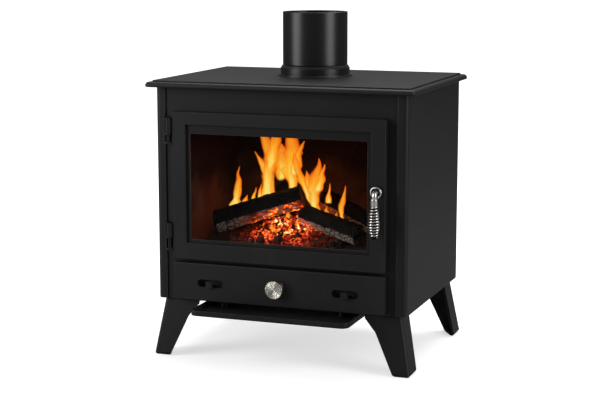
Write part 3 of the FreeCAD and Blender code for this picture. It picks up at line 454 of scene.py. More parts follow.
def firebrick():
    """Pressed board with grit, under soot that thickens upwards."""
    finish = Finish("sooty_firebrick", Specular_IOR_Level=0.0)
    grit = finish.place.clouds(500.0, detail=5.0, rough=0.7)
    patches = finish.place.clouds(11.0, detail=5.0)
    soot = (finish.height_in("firebrick_rear") * 0.8 + patches * 0.9).step(0.45, 1.05)
    clay = grit.mix(rgb((0.13, 0.075, 0.050)), rgb((0.20, 0.12, 0.085)))
    finish.wear("Base Color", soot.mix(clay, rgb((0.020, 0.013, 0.011))))
    finish.wear("Roughness", 0.85 + 0.10 * grit)
    finish.bump(grit * 0.5 + patches * 0.5, 0.0016, 0.9)
    return finish.material


glass = window_glass()
rope = knitted_rope()
brick = firebrick()
print("made", glass.name, rope.name, "and", brick.name)

# %% [markdown]
# ## Softening the edges of the steel
# A real folded or sawn edge is never sharp: it has a radius of half a millimetre or so, and that
# thin strip is what catches the light and draws the bright line round a black panel. Each panel's
# mesh is copied, its loose triangles are merged and flattened into whole faces, and a bevel rounds
# the corners. Weighted normals then keep the large faces flat, so that only the strips turn the
# light. The copy stands for the panel and rides on the same body. On the panels that hands and
# tools touch, the strips also get a paler finish: partly paint rubbed thin, and partly a painted
# highlight that brightens the edge lines.

# %% Panels with softened edges
SLOT_FINISH = {
    "painted_steel": shell_paint, "door_paint": door_paint, "surround_paint": surround_paint,
    "flue_enamel": satin_enamel, "fire_cement": satin_enamel, "fastener_steel": zinc_plate,
    "hinge_steel": black_steel, "rope": rope, "stove_glass": glass, "handle_chrome": bright_nickel,
    "spun_steel": spun, "fire_brick": brick, "cast_grate": grate_iron, "sheet_steel": sheet,
}
SLOT_OF = {part["node"]: part["material_slot"] for part in frame["record"]["subparts"]}
BODY_OF = {member: body for body, members in frame["record"]["behaviour"]["bodies"].items()
           for member in members}
LEGS = ["leg_front_left", "leg_front_right", "leg_rear_left", "leg_rear_right"]
SHELL = ["front_plate", "side_panel_left", "side_panel_right", "ash_lip"]
RUBBED_AND_HIGHLIT = ["door_frame", "drawer_front", "glass_surround"] + SHELL + LEGS
SOFT_EDGES = {
    0.7 * MM: ["rear_panel"] + SHELL + LEGS,
    0.5 * MM: ["hinge_bracket_upper", "hinge_bracket_lower", "door_knuckle_upper",
               "door_knuckle_lower", "glass_surround", "drawer_front", "door_frame", "base_plate"],
    0.4 * MM: ["air_slider_left", "air_slider_right", "log_guard", "latch_cam"],
    1.5 * MM: ["firebrick_left", "firebrick_right", "firebrick_rear"],
}


def dress(piece, finish):
    """Takes off every finish and puts this one on."""
    piece.data.materials.clear()
    piece.data.materials.append(finish)


def place_piece(piece, body, finish):
    """Gives a new piece its body and its finish."""
    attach(piece, body)
    dress(piece, finish)


def merged_copy(node, name):
    """A copy of a node whose loose triangles are joined, which stands for it."""
    source = frame["nodes"][node]
    piece = source.copy()
    piece.data = source.data.copy()
    piece.name = name
    piece.data.name = name
    piece.parent = None
    piece.matrix_world = Matrix.Identity(4)
    bpy.context.collection.objects.link(piece)
    pick(piece)
    bpy.ops.mesh.customdata_custom_splitnormals_clear()
    with Editing(piece):
        bpy.ops.mesh.remove_doubles(threshold=0.01 * MM)
    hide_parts(node)
    return piece


def softened(node, width):
    """A copy of a node with rounded edges."""
    piece = merged_copy(node, node + "_soft")
    with Editing(piece):
        bpy.ops.mesh.dissolve_limited(angle_limit=math.radians(0.6))
    place_piece(piece, BODY_OF[node], SLOT_FINISH[SLOT_OF[node]])
    strip_finish = -1
    # Paler strips on these panels: rubbed paint and a painted highlight along the edges.
    if node in RUBBED_AND_HIGHLIT:
        piece.data.materials.append(rubbed_and_highlit_edge)
        strip_finish = 1
    modify(piece, "BEVEL", width=width, segments=2, limit_method="ANGLE",
           angle_limit=math.radians(38), use_clamp_overlap=True, material=strip_finish)
    settle(piece, 50)
    modify(piece, "WEIGHTED_NORMAL", weight=100, keep_sharp=True)
    return piece


for edge_width, panels in SOFT_EDGES.items():
    for panel in panels:
        softened(panel, edge_width)
print("softened", sum(len(p) for p in SOFT_EDGES.values()), "panels")

# %% [markdown]
# ## Finishes on the parts that stay as they are
# The turned and hidden parts keep their own mesh and only need a finish. It could be set part by
# part, but each part already has a slot in the record, so one loop dresses them all. The rod
# and the small black fittings are then given their own.

# %% Dress the remaining parts
for node, part in frame["nodes"].items():
    if SLOT_OF[node] in SLOT_FINISH:
        dress(part, SLOT_FINISH[SLOT_OF[node]])
dress(frame["nodes"]["handle_rod"], rod_nickel)
for node in ("ash_lip_bolts", "ash_lip_spacers", "latch_cam", "latch_spindle"):
    dress(frame["nodes"][node], black_steel)
print("dressed", len(frame["nodes"]), "parts")

# %% [markdown]
# ## The spring grip
# A spring handle stays cool because air moves through its turns. It is one wire wound into a
# barrel: narrow under the ferrule, widest below the middle, and drawn in at the tip. The wire
# follows a path whose points climb round the handle's axis, so a curve with a round bevel is the
# natural way. The curve is then made a mesh.

# %% Wind the spring
coil_low, coil_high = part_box("handle_coil")
GRIP = (coil_low + coil_high) / 2
WIRE_R = 1.3 * MM
TURNS = 11
STEPS = 14      # points of the path in one turn
# Share of the height from the tip, and radius of the winding there in millimetres.
BARREL = ((0.0, 5.6), (0.10, 8.6), (0.36, 11.4), (0.72, 9.2), (1.0, 5.8))


def wire(name, points, radius):
    """A round wire through the points."""
    bpy.ops.object.select_all(action="DESELECT")
    bpy.ops.curve.primitive_nurbs_path_add(location=(0, 0, 0))
    piece = made(name)
    curve = piece.data
    spline = curve.splines[0]
    spline.points.add(len(points) - len(spline.points))
    for point, spot in zip(spline.points, points):
        point.co = (*spot, 1.0)
        point.radius = 1.0
    spline.order_u = 4
    spline.use_endpoint_u = True
    spline.resolution_u = 3
    curve.dimensions = "3D"
    curve.bevel_depth = radius
    curve.bevel_resolution = 3
    curve.use_fill_caps = True
    pick(piece)
    bpy.ops.object.convert(target="MESH")
    with Editing(piece):
        bpy.ops.mesh.remove_doubles(threshold=0.001 * MM)
        bpy.ops.mesh.normals_make_consistent(inside=False)
    settle(piece, 60)
    return piece


def barrel_radius(share):
    """Radius of the winding at this share of its height, eased between the given ones."""
    for (low, a), (high, b) in zip(BARREL, BARREL[1:]):
        if share <= high:
            t = (share - low) / (high - low)
            return (a + (b - a) * (0.5 - 0.5 * math.cos(math.pi * t))) * MM
    return BARREL[-1][1] * MM


def spring_points():
    """Points that climb round the grip's axis, from the tip to the ferrule."""
    low = coil_low.z + WIRE_R
    height = coil_high.z - coil_low.z - 2 * WIRE_R
    points = []
    for i in range(TURNS * STEPS + 1):
        share = i / (TURNS * STEPS)
        angle = share * TURNS * 2 * math.pi
        radius = barrel_radius(share)
        points.append((GRIP.x + radius * math.cos(angle), GRIP.y + radius * math.sin(angle),
                       low + share * height))
    return points


spring = wire("handle_spring", spring_points(), WIRE_R)
place_piece(spring, "handle", bright_nickel)
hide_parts("handle_coil")
print("the spring has", TURNS, "turns and", len(spring.data.polygons), "faces")

# %% [markdown]
# ## The ring round the handle's boss
# A bright wire ring sits on the rim of the black boss and turns a plain disc into a fitting. A ring
# of round wire is exactly what the torus primitive makes, so it needs only its size and place.

# %% Boss ring
RING_R = 9.6 * MM
RING_WIRE_R = 1.45 * MM
RING_SUNK = 0.4 * MM
boss_low, boss_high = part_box("handle_rosette")
boss = (boss_low + boss_high) / 2
bpy.ops.object.select_all(action="DESELECT")
bpy.ops.mesh.primitive_torus_add(location=(boss.x, boss_low.y + RING_SUNK, boss.z),
                                 rotation=(math.radians(90), 0, 0), major_radius=RING_R,
                                 minor_radius=RING_WIRE_R, major_segments=64, minor_segments=16)
boss_ring = made("boss_ring")
settle(boss_ring, 60)
place_piece(boss_ring, "door", bright_nickel)
print("boss ring at height", round(boss.z, 3))

# %% [markdown]
# ## The spun drawer knob
# The knob is turned from bar: a flange against the drawer, a narrow waist, then a thick disc whose
# face is cut with shallow rings. A lathe is a stack of circles, so one circle is
# extruded and resized along the knob's axis. The same helper later makes the flames.

# %% Stack of rings, and the knob
def stacked(name, rings, sides, rotation=(0, 0, 0)):
    """A closed body from rings of (centre, scale), each extruded from the one before."""
    place, scale = rings[0]
    bpy.ops.object.select_all(action="DESELECT")
    bpy.ops.mesh.primitive_circle_add(vertices=sides, radius=1.0, fill_type="NGON", location=place,
                                      rotation=rotation)
    piece = made(name)
    with Editing(piece):
        bpy.ops.transform.resize(value=scale, center_override=place)
        for (last_place, last_scale), (place, scale) in zip(rings, rings[1:]):
            step = Vector(place) - Vector(last_place)
            bpy.ops.mesh.extrude_region_move(TRANSFORM_OT_translate={"value": step})
            factor = [new / old for new, old in zip(scale, last_scale)]
            bpy.ops.transform.resize(value=factor, center_override=place)
        bpy.ops.mesh.select_all(action="SELECT")
        bpy.ops.mesh.normals_make_consistent(inside=False)
    return piece


KNOB = (knob_low + knob_high) / 2
KNOB_R = (knob_high.x - knob_low.x) / 2
KNOB_LENGTH = knob_high.y - knob_low.y
KNOB_SIDES = 96
# Share of the knob's length from the drawer, and share of its radius there.
KNOB_TURNING = ((0.00, 0.83), (0.10, 0.83), (0.15, 0.80), (0.17, 0.60), (0.42, 0.58),
                (0.46, 0.70), (0.48, 0.94), (0.51, 0.985), (0.56, 1.00), (0.86, 1.00),
                (0.94, 0.985), (0.985, 0.95))
GROOVES = 9
GROOVE_START = 0.90     # the first groove's share of the radius, and the step to the next
GROOVE_STEP = 0.095
GROOVE_LAND = 0.045     # the flat between two grooves, and where the slope ends
GROOVE_SLOPE = 0.060
GROOVE_FLOOR = 0.982
KNOB_TIP = 0.035


def knob_rings():
    """From the drawer outwards, then over the face, which is cut in shallow steps."""
    rings = list(KNOB_TURNING)
    for groove in range(GROOVES):
        radius = GROOVE_START - GROOVE_STEP * groove
        rings += [(1.0, radius), (1.0, radius - GROOVE_LAND), (GROOVE_FLOOR, radius - GROOVE_SLOPE)]
    rings += [(1.0, KNOB_TIP), (1.0, 0.004)]
    return [((KNOB.x, knob_high.y - share * KNOB_LENGTH, KNOB.z),
             (radius * KNOB_R, 1.0, radius * KNOB_R)) for share, radius in rings]


knob = stacked("turned_knob", knob_rings(), KNOB_SIDES, rotation=(math.radians(90), 0, 0))
settle(knob, 30)
place_piece(knob, "ash_drawer", spun)
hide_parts("drawer_knob")
print("the knob has", len(knob.data.polygons), "faces")

# %% [markdown]
# ## Charred logs
# Burning wood shrinks and checks into blocks. The lower edges turn to pale ash, and
# the cracks that face the heart of the fire glow. Each log of the frame is copied and remeshed in
# small even faces, then pushed in along the cracks of a cell pattern. Two values are stored in the
# mesh for the finish: ash, high on lower edges, and glow, high near the heart of the fire.

# %% Patterns that push, and values that are stored
HEART = Vector((-0.025, BODY_Y - 0.055, 0.250))     # the middle of the fire
GLOW_NEAR = 0.035       # wood glows fully when it is this near to the heart
GLOW_FAR = 0.110        # and not at all when it is further than this


def cell_texture(name, size):
    """Cells with dark cracks: the second distance less the first."""
    texture = bpy.data.textures.new(name, "VORONOI")
    texture.noise_scale = size
    texture.distance_metric = "DISTANCE"
    texture.weight_1 = -1.0
    texture.weight_2 = 1.0
    return texture


def cloud_texture(name, size):
    texture = bpy.data.textures.new(name, "CLOUDS")
    texture.noise_scale = size
    texture.noise_depth = 3
    return texture


def store(piece, name, rule):
    """Writes rule(vertex) into the mesh as a value that a finish can read."""
    values = piece.data.attributes.new(name, "FLOAT", "POINT")
    for vertex, value in zip(piece.data.vertices, values.data):
        value.value = rule(vertex)


def eased(value, low, high):
    """0 at low, 1 at high, and a smooth rise between them."""
    t = min(max((value - low) / (high - low), 0.0), 1.0)
    return t * t * (3 - 2 * t)


def ash_on_log(vertex):
    """Ash gathers on faces that look forward and down."""
    patchy = noise.noise(vertex.co * 30) * 0.5 + 0.5
    lower = eased(-vertex.normal.z, 0.0, 0.40) * eased(-vertex.normal.y, 0.0, 0.35)
    return lower * eased(patchy, 0.18, 0.42)


def glow_near_heart(vertex):
    """Glow on the faces that look down or back into the fire."""
    away = (vertex.co - HEART).length
    facing_down = eased(-vertex.normal.z, 0.25, 0.75) + 0.8 * eased(vertex.normal.y, 0.1, 0.6)
    return eased(-away, -GLOW_FAR, -GLOW_NEAR) * min(facing_down, 1.0)


print("the heart of the fire is", round(HEART.z * 1000), "mm up")

# %% Charred wood
def charred_wood():
    """Black checked blocks, with ash and with glow where the mesh says."""
    finish = Finish("charred_wood", Specular_IOR_Level=0.08, Emission_Strength=3.0)
    checks = finish.place.stretched(1.0, 1.2, 1.2).cracks(74.0).step(0.02, 0.11)
    grain = finish.place.stretched(30.0, 220.0, 220.0).clouds(1.0)
    fine = finish.place.clouds(420.0, detail=4.0, rough=0.7)
    ash = finish.stored("ash") * checks * fine.step(0.25, 0.5)
    glow = finish.stored("glow")
    char = grain.mix(rgb((0.0015, 0.0012, 0.0011)), rgb((0.0065, 0.0042, 0.0034)))
    ashes = fine.mix(rgb((0.20, 0.16, 0.13)), rgb((0.55, 0.46, 0.39)))
    finish.wear("Base Color", ash.mix(char, ashes))
    heat = glow * (1.0 - checks * 0.75) * finish.place.clouds(90.0).step(0.3, 0.6)
    finish.wear("Emission Color", heat.ramp((0.0, (0, 0, 0)), (0.25, (0.10, 0.006, 0.0)),
                                            (0.6, (0.80, 0.10, 0.008)), (1.0, (1.0, 0.42, 0.06))))
    finish.wear("Roughness", 0.62 + 0.25 * fine)
    finish.bump(checks * 0.5 + fine * 0.3 + grain * 0.4, 0.0016, 0.9)
    return finish.material


charred = charred_wood()
print("made", charred.name)

# %% Burn the logs
LOG_VOXEL = 0.0022      # all in metres
CHAR_CELL = 0.020
CHAR_LUMP = 0.018
CRACK_DEPTH = 0.0035
LUMP_DEPTH = 0.0050
char_cells = cell_texture("char_cells", CHAR_CELL)
char_lumps = cloud_texture("char_lumps", CHAR_LUMP)


def pushed(piece, texture, depth, level):
    """Moves the surface in and out by the texture. At this level of grey it stays in place."""
    modify(piece, "DISPLACE", texture=texture, texture_coords="LOCAL", strength=depth,
           mid_level=level)


def burnt_log(node):
    """One log, cracked and lumpy, that stands for the frame's plain one."""
    log = merged_copy(node, node + "_burnt")
    modify(log, "REMESH", mode="VOXEL", voxel_size=LOG_VOXEL)
    pushed(log, char_cells, CRACK_DEPTH, 0.55)
    pushed(log, char_lumps, LUMP_DEPTH, 0.5)
    modify(log, "SMOOTH", factor=0.4, iterations=1)
    store(log, "ash", ash_on_log)
    store(log, "glow", glow_near_heart)
    settle(log, 50)
    place_piece(log, "stove_body", charred)
    return log


for log_name in ("log_front_left", "log_front_right", "log_rear_left", "log_rear_right"):
    print(log_name, len(burnt_log(log_name).data.polygons), "faces")

# %% [markdown]
# ## The ember bed
# Under the logs lies a bed of broken, glowing lumps over grey ash. One lump is a low ball with its
# corners pushed about at random; it is copied many times, each copy turned, scaled and dropped on
# the bed. Every lump keeps one heat value, so that some are dull and some are bright.

# %% Ember finish
def bed_heat(place):
    """Hot under the arch of the logs and along the front, cool at the sides."""
    across = eased(-abs(place.x - HEART.x), -0.125, -0.020)
    depth = eased(-abs(place.y - HEART.y), -0.100, -0.010)
    return across * (0.35 + 0.65 * depth)


def ember_finish():
    """Grey ash where the stored heat is low, and red to yellow where it is high."""
    finish = Finish("glowing_embers", Specular_IOR_Level=0.1, Emission_Strength=1.5)
    crust = finish.place.clouds(140.0, detail=4.0, rough=0.65)
    fine = finish.place.clouds(600.0, rough=0.7)
    heat = finish.stored("ember_heat")
    ashes = fine.mix(rgb((0.008, 0.005, 0.004)), rgb((0.060, 0.042, 0.034)))
    finish.wear("Base Color", heat.step(0.1, 0.5).mix(ashes, rgb((0.05, 0.016, 0.010))))
    hot = heat * (0.25 + 0.95 * crust.step(0.36, 0.66))
    finish.wear("Emission Color", hot.ramp((0.0, (0, 0, 0)), (0.22, (0.035, 0.002, 0.0)),
                                           (0.45, (0.42, 0.022, 0.006)), (0.68, (1.0, 0.14, 0.018)),
                                           (0.88, (1.0, 0.46, 0.07)), (1.0, (1.0, 0.80, 0.30))))
    finish.wear("Roughness", 0.85 + 0.1 * fine)
    finish.bump(crust * 0.6 + fine * 0.4, 0.0012, 0.9)
    return finish.material


embers = ember_finish()
print("made", embers.name)

# %% The bed of ash
BED_VOXEL = 0.0045      # all in metres
BED_LUMP = 0.03
BED_RELIEF = 0.006
DULL = 0.55             # the bed is cooler than the lumps on it
bed_low, bed_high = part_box("ember_bed")
bed = merged_copy("ember_bed", "bed_of_ash")
modify(bed, "REMESH", mode="VOXEL", voxel_size=BED_VOXEL)
pushed(bed, cloud_texture("bed_lumps", BED_LUMP), BED_RELIEF, 0.6)
store(bed, "ember_heat", lambda vertex: DULL * bed_heat(vertex.co))
settle(bed, 60)
place_piece(bed, "stove_body", embers)
print("the bed has", len(bed.data.polygons), "faces")

# %% Loose embers
random.seed(41)
LUMP_COUNT = 340
LUMP_SHAPES = 6
LUMPS_X = (-0.135, 0.100)
LUMPS_Y = (bed_low.y + 0.006, BODY_Y + 0.02)
LUMP_RADIUS = (0.0035, 0.0085)
LUMP_STRETCH = (0.75, 1.35)
LUMP_HEATS = (0.10, 0.45, 0.75, 0.95, 1.10)
SUNK = 0.35             # the share of its radius at which a lump's middle lies above the ash


def lump_shape(number):
    """One low ball with pushed corners."""
    bpy.ops.object.select_all(action="DESELECT")
    bpy.ops.mesh.primitive_ico_sphere_add(subdivisions=2, radius=1.0, location=(0, 0, 0))
    lump = made("lump_%d" % number)
    with Editing(lump):
        bpy.ops.transform.vertex_random(offset=0.22, uniform=1.0, normal=0.4, seed=number + 3)
        bpy.ops.mesh.decimate(ratio=0.5)
        bpy.ops.mesh.normals_make_consistent(inside=False)
    return lump


def bed_height(x, y):
    """Height of the ash under a point, by a ray straight down."""
    above = Vector((x, y, bed_high.z + 0.05))
    hit, place, _normal, _face = bed.ray_cast(above, Vector((0, 0, -1)))
    return place.z if hit else None


def scatter_lumps():
    """Drops copies of the shapes on the bed and joins them."""
    shapes = [lump_shape(i) for i in range(LUMP_SHAPES)]
    lumps = []
    while len(lumps) < LUMP_COUNT:
        x = random.uniform(*LUMPS_X)
        y = random.uniform(*LUMPS_Y)
        size = random.uniform(*LUMP_RADIUS)
        height = bed_height(x, y)
        if height is None:
            continue
        lump = shapes[len(lumps) % LUMP_SHAPES].copy()
        lump.data = lump.data.copy()
        bpy.context.collection.objects.link(lump)
        lump.location = (x, y, height + size * SUNK)
        lump.rotation_euler = [random.uniform(0, math.tau) for _ in range(3)]
        lump.scale = [size * random.uniform(*LUMP_STRETCH) for _ in range(3)]
        heat = bed_heat(lump.location) * random.choice(LUMP_HEATS)
        store(lump, "ember_heat", lambda vertex: heat)
        lumps.append(lump)
    for shape in shapes:
        bpy.data.objects.remove(shape)
    pick(*lumps)
    bpy.ops.object.join()
    return made("ember_lumps")


ember_lumps = scatter_lumps()
settle(ember_lumps, 40)
place_piece(ember_lumps, "stove_body", embers)
print(LUMP_COUNT, "lumps,", len(ember_lumps.data.polygons), "faces")

# %% [markdown]
# ## The finish of a flame
# A flame is a tongue of hot gas: wide and bright at its root, wavering and drawn out to a tip, and
# clear at its rim. It gives light and has no surface, so its finish is emission, thinned by alpha.
# The tongue's own UV map says how far a point is from the middle line and how far up it is, and
# the finish turns that into colour and clearness.

# %% Flame finish
def flame_finish():
    """Yellow in the middle, red at the rim, and clear outside it."""
    finish = Finish("flame", Base_Color=rgb(0.0), Specular_IOR_Level=0.0, Roughness=1.0,
                    Emission_Strength=1.0)
    across = finish.along.axis(0)
    up = finish.along.axis(1)
    drift = finish.place.stretched(1.0, 1.0, 0.32).clouds(75.0) - 0.5
    wisps = finish.place.stretched(1.0, 1.0, 0.16).clouds(210.0, detail=2.0)
    edge = (across * 2.0 - 1.0) + drift * 0.75
    inside = 1.0 - edge * edge
    body = inside.step(0.0, 0.75)
    root = up.step(0.0, 0.12)
    heat = inside * (1.12 - 0.75 * up) + drift * 0.45
    finish.wear("Emission Color", heat.ramp(
        (0.0, (0.60, 0.035, 0.004)), (0.22, (0.95, 0.13, 0.006)), (0.48, (1.0, 0.27, 0.010)),
        (0.74, (1.0, 0.47, 0.030)), (0.95, (1.0, 0.74, 0.16))))
    clear = body * root * (0.62 + 0.38 * wisps.step(0.25, 0.6)) * (1.0 - up * up * 0.35)
    finish.wear("Alpha", clear)
    return finish.material


flame = flame_finish()
print("made", flame.name)

# %% [markdown]
# ## Tongues of flame
# The flames could be a few flat cards, but those vanish from the side. So each tongue is a thin
# closed body of stacked rings, made by the same helper as the knob. A smooth line is drawn
# through a few stations of its height and width, and a little noise makes it waver. Forked flames
# are tongues that overlap.

# %% Where the tongues stand
# Each station is (x, height, half width) in millimetres, from root to tip. The first number of a
# tongue is how far it stands in front of the middle of the body.
TONGUES = (
    (10, (-90, 284, 18), (-88, 314, 15), (-88, 338, 14), (-84, 360, 18), (-82, 380, 16),
     (-90, 402, 13), (-101, 424, 7), (-106, 440, 1)),
    (14, (-84, 350, 8), (-78, 372, 15), (-74, 394, 13), (-70, 416, 11), (-68, 436, 3)),
    (8, (-92, 336, 8), (-98, 352, 10), (-104, 364, 7), (-112, 376, 3), (-117, 384, 1)),
    (4, (-66, 326, 4), (-58, 344, 20), (-53, 360, 30), (-54, 376, 27), (-60, 390, 12),
     (-62, 402, 1)),
    (9, (-38, 294, 9), (-37, 326, 11), (-44, 346, 20), (-40, 368, 22), (-37, 390, 18),
     (-39, 414, 13), (-34, 432, 9), (-32, 444, 1)),
    (15, (-30, 340, 10), (-25, 362, 11), (-22, 382, 8), (-16, 398, 5), (-10, 410, 1)),
    (46, (19, 288, 6), (12, 306, 8), (3, 326, 9), (-8, 348, 10), (-16, 370, 8), (-20, 390, 2)),
    (62, (32, 272, 7), (29, 290, 9), (27, 308, 12), (28, 326, 15), (30, 344, 15), (35, 360, 10),
     (38, 372, 5), (37, 384, 1)),
    (66, (36, 318, 7), (42, 336, 9), (45, 352, 6), (49, 366, 3), (50, 374, 1)),
    (58, (16, 316, 5), (14, 332, 8), (13, 346, 6), (11, 358, 1)),
    (64, (42, 264, 14), (38, 278, 8), (34, 292, 3), (33, 300, 1)),
    (68, (56, 262, 16), (57, 272, 11), (54, 284, 4), (55, 292, 1)),
    (70, (76, 254, 15), (78, 264, 9), (76, 274, 4), (78, 282, 1)),
    (60, (56, 296, 8), (55, 308, 6), (57, 320, 3), (59, 336, 1)),
    (66, (89, 250, 10), (87, 266, 5), (84, 284, 5), (87, 302, 6), (91, 318, 3), (93, 334, 1)),
    (20, (-150, 266, 24), (-153, 280, 13), (-151, 296, 9), (-149, 312, 10), (-147, 326, 6),
     (-148, 340, 3), (-146, 354, 1)),
    (24, (-130, 272, 14), (-132, 284, 8), (-128, 294, 2), (-127, 298, 1)),
    (20, (-116, 284, 6), (-115, 296, 4), (-112, 306, 2), (-111, 314, 1)),
    (22, (-102, 290, 6), (-101, 304, 5), (-99, 314, 2), (-98, 322, 1)),
    (40, (-34, 232, 26), (-36, 246, 15), (-32, 258, 8), (-35, 268, 4), (-33, 280, 1)),
    (62, (-6, 228, 17), (-4, 240, 10), (-8, 250, 5), (-5, 262, 1)),
    (70, (-58, 226, 18), (-55, 236, 10), (-58, 246, 4), (-56, 252, 1)),
)
print(len(TONGUES), "tongues, the highest to", max(t[-1][1] for t in TONGUES), "mm")

# %% Raise the tongues
FLAME_RINGS = 26
FLAME_SIDES = 16
FLAME_DEPTH = 0.42      # depth as a share of width
SWAY = 2.2              # millimetres to either side
SWAY_PACE = 0.060       # waves in a millimetre of height
SWELL = 0.30            # share of the width
SWELL_PACE = 0.085
ROOT_RINGS = 6          # the sway grows over this many rings
THINNEST = 0.4          # millimetres, half width


def curve_through(stations, share):
    """A smooth line through the stations, at this share of its length."""
    spot = share * (len(stations) - 1)
    index = min(int(spot), len(stations) - 2)
    t = spot - index
    before = stations[max(index - 1, 0)]
    after = stations[min(index + 2, len(stations) - 1)]
    values = []
    for a, b, c, d in zip(before, stations[index], stations[index + 1], after):
        bend = 2 * a - 5 * b + 4 * c - d + t * (3 * (b - c) + d - a)
        values.append(b + 0.5 * t * (c - a + t * bend))
    return values


def tongue_rings(number, forward, stations):
    """The rings of one tongue, which sways and swells as it rises."""
    rings = []
    for i in range(FLAME_RINGS + 1):
        x, z, half = curve_through(stations, i / FLAME_RINGS)
        sway = noise.noise(Vector((number * 7.3, z * SWAY_PACE, 0.0)))
        swell = noise.noise(Vector((z * SWELL_PACE, number * 3.1, 5.0)))
        x += SWAY * min(i / ROOT_RINGS, 1.0) * sway
        half = max(half * (1.0 + SWELL * swell), THINNEST)
        rings.append(((x * MM, BODY_Y - forward * MM, z * MM),
                      (half * MM, half * FLAME_DEPTH * MM, 1.0)))
    return rings


def map_tongue(piece, rings):
    """Writes the UV map: across the nearest ring from 0 to 1, and up from root to tip."""
    while piece.data.uv_layers:
        piece.data.uv_layers.remove(piece.data.uv_layers[0])
    tongue_map = piece.data.uv_layers.new(name="tongue")
    low, high = rings[0][0][2], rings[-1][0][2]
    for loop in piece.data.loops:
        corner = piece.data.vertices[loop.vertex_index].co
        middle, size = min(rings, key=lambda ring: abs(ring[0][2] - corner.z))
        across = 0.5 + 0.5 * (corner.x - middle[0]) / size[0]
        tongue_map.data[loop.index].uv = (across, (corner.z - low) / (high - low))


def tongue(number, forward, stations):
    """One tongue of flame with its map."""
    rings = tongue_rings(number, forward, stations)
    piece = stacked("flame_%d" % number, rings, FLAME_SIDES)
    settle(piece, 80)
    map_tongue(piece, rings)
    return piece


pick(*[tongue(i, forward, stations) for i, (forward, *stations) in enumerate(TONGUES)])
bpy.ops.object.join()
fire = made("flames")
place_piece(fire, "stove_body", flame)
print("the flames have", len(fire.data.polygons), "faces")

# %% [markdown]
# ## Studio
# A pale floor, a white surround that only the camera sees, and soft boxes at both sides and
# overhead. Black paint shows what it mirrors, so the room that it mirrors is kept dark and the
# boxes draw the bright streaks on the flue and on the edges. The fire adds two small warm lights.

# %% Lights
def area_light(name, place, aim, size, power):
    """A soft box that points at aim."""
    light = bpy.data.lights.new(name, "AREA")
    light.shape = "RECTANGLE"
    light.size = size[0]
    light.size_y = size[1]
    light.energy = power
    holder = bpy.data.objects.new(name, light)
    bpy.context.collection.objects.link(holder)
    holder.location = place
    holder.rotation_euler = (Vector(aim) - Vector(place)).to_track_quat("-Z", "Y").to_euler()


def warm_light(name, place, power, radius):
    """Firelight. It lights the bricks and logs, and is never seen itself."""
    light = bpy.data.lights.new(name, "POINT")
    light.energy = power
    light.color = FIRELIGHT
    light.shadow_soft_size = radius
    holder = bpy.data.objects.new(name, light)
    bpy.context.collection.objects.link(holder)
    holder.location = place
    holder.visible_camera = False
    holder.visible_glossy = False
    holder.visible_transmission = False


FIRELIGHT = (1.0, 0.15, 0.03)
BOX_AIM = (0, 0, 0.4)
area_light("left_box", (-2.3, -1.9, 1.3), BOX_AIM, (1.6, 2.4), 54)
area_light("right_box", (2.9, -0.8, 1.2), BOX_AIM, (1.5, 2.4), 44)
area_light("top_box", (0.0, 0.9, 2.6), (0, 0, 0.3), (2.4, 1.8), 50)
warm_light("fire_light", (-0.040, BODY_Y - 0.010, 0.350), 0.45, 0.035)
warm_light("ember_light", HEART + Vector((0, -0.010, -0.002)), 0.12, 0.010)
print("lights:", [light.name for light in bpy.data.lights])

# %% Floor and room
FLOOR_SIZE = 60
PAPER = 0.80
PAPER_NEAR = 0.62       # the paper's own light under the stove, and far from it
PAPER_FAR = 1.1
PAPER_RISE = (0.5, 1.6)
MIRRORED_PAPER = 0.30   # how pale the floor is to everything but the camera
ROOM_LOW = 0.10
ROOM_HIGH = 0.25


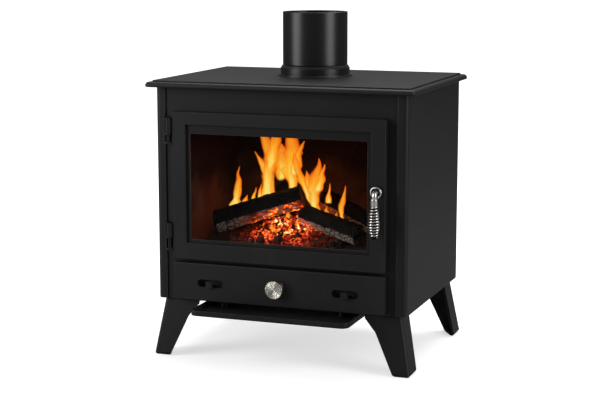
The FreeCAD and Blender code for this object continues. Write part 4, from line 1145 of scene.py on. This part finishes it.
def pale_floor():
    """White to the eye as far as it reaches, and dim in what the black paint mirrors."""
    bpy.ops.object.select_all(action="DESELECT")
    bpy.ops.mesh.primitive_plane_add(size=FLOOR_SIZE, location=(0, 0, 0))
    floor = made("studio_floor")
    paper = Finish("pale_paper", Roughness=0.9, Specular_IOR_Level=0.0, Emission_Strength=1.0,
                   Base_Color=rgb(PAPER))
    glow = paper.place.length().step(*PAPER_RISE)
    paper.wear("Emission Color", glow.mix(rgb(PAPER_NEAR), rgb(PAPER_FAR)))
    dim = paper.tree.nodes.new("ShaderNodeBsdfDiffuse")
    dim.inputs["Color"].default_value = rgb(MIRRORED_PAPER)
    path = paper.tree.nodes.new("ShaderNodeLightPath")
    choice = paper.tree.nodes.new("ShaderNodeMixShader")
    paper.tree.links.new(path.outputs["Is Camera Ray"], choice.inputs["Fac"])
    paper.tree.links.new(dim.outputs["BSDF"], choice.inputs[1])
    paper.tree.links.new(paper.shader.outputs["BSDF"], choice.inputs[2])
    surface = paper.tree.nodes["Material Output"].inputs["Surface"]
    paper.tree.links.new(choice.outputs["Shader"], surface)
    dress(floor, paper.material)


def studio_room():
    """White where the camera looks at it and dim for everything else."""
    world = bpy.data.worlds.new("room")
    bpy.context.scene.world = world
    world.use_nodes = True
    tree = world.node_tree
    background = tree.nodes["Background"]
    coordinates = tree.nodes.new("ShaderNodeTexCoord")
    path = tree.nodes.new("ShaderNodeLightPath")
    direction = Wire(tree, coordinates.outputs["Generated"])
    above = direction.axis(2).step(-0.1, 0.9)
    room = above.mix(rgb(ROOM_LOW), rgb(ROOM_HIGH))
    seen = Wire(tree, path.outputs["Is Camera Ray"])
    tree.links.new(seen.mix(room, rgb(1.0)).socket, background.inputs["Color"])
    background.inputs["Strength"].default_value = 1.0


pale_floor()
studio_room()
print("the floor is", FLOOR_SIZE, "m wide")

# %% Camera
CAMERA_PLACE = (0.9975, BODY_Y - 2.7988, 0.7839)
CAMERA_YAW = 19.835
CAMERA_PITCH = 9.572
CAMERA_LENS = 89.26     # millimetres
CAMERA_SENSOR = 36


def camera():
    """A long lens from the front right, looking a little down."""
    data = bpy.data.cameras.new("camera")
    data.lens = CAMERA_LENS
    data.sensor_width = CAMERA_SENSOR
    holder = bpy.data.objects.new("camera", data)
    bpy.context.collection.objects.link(holder)
    holder.location = CAMERA_PLACE
    holder.rotation_euler = (math.radians(90 - CAMERA_PITCH), 0, math.radians(CAMERA_YAW))
    bpy.context.scene.camera = holder


camera()
bpy.context.scene.view_settings.view_transform = "Standard"
print("the camera stands at", [round(c, 2) for c in bpy.context.scene.camera.location])

# %% [markdown]
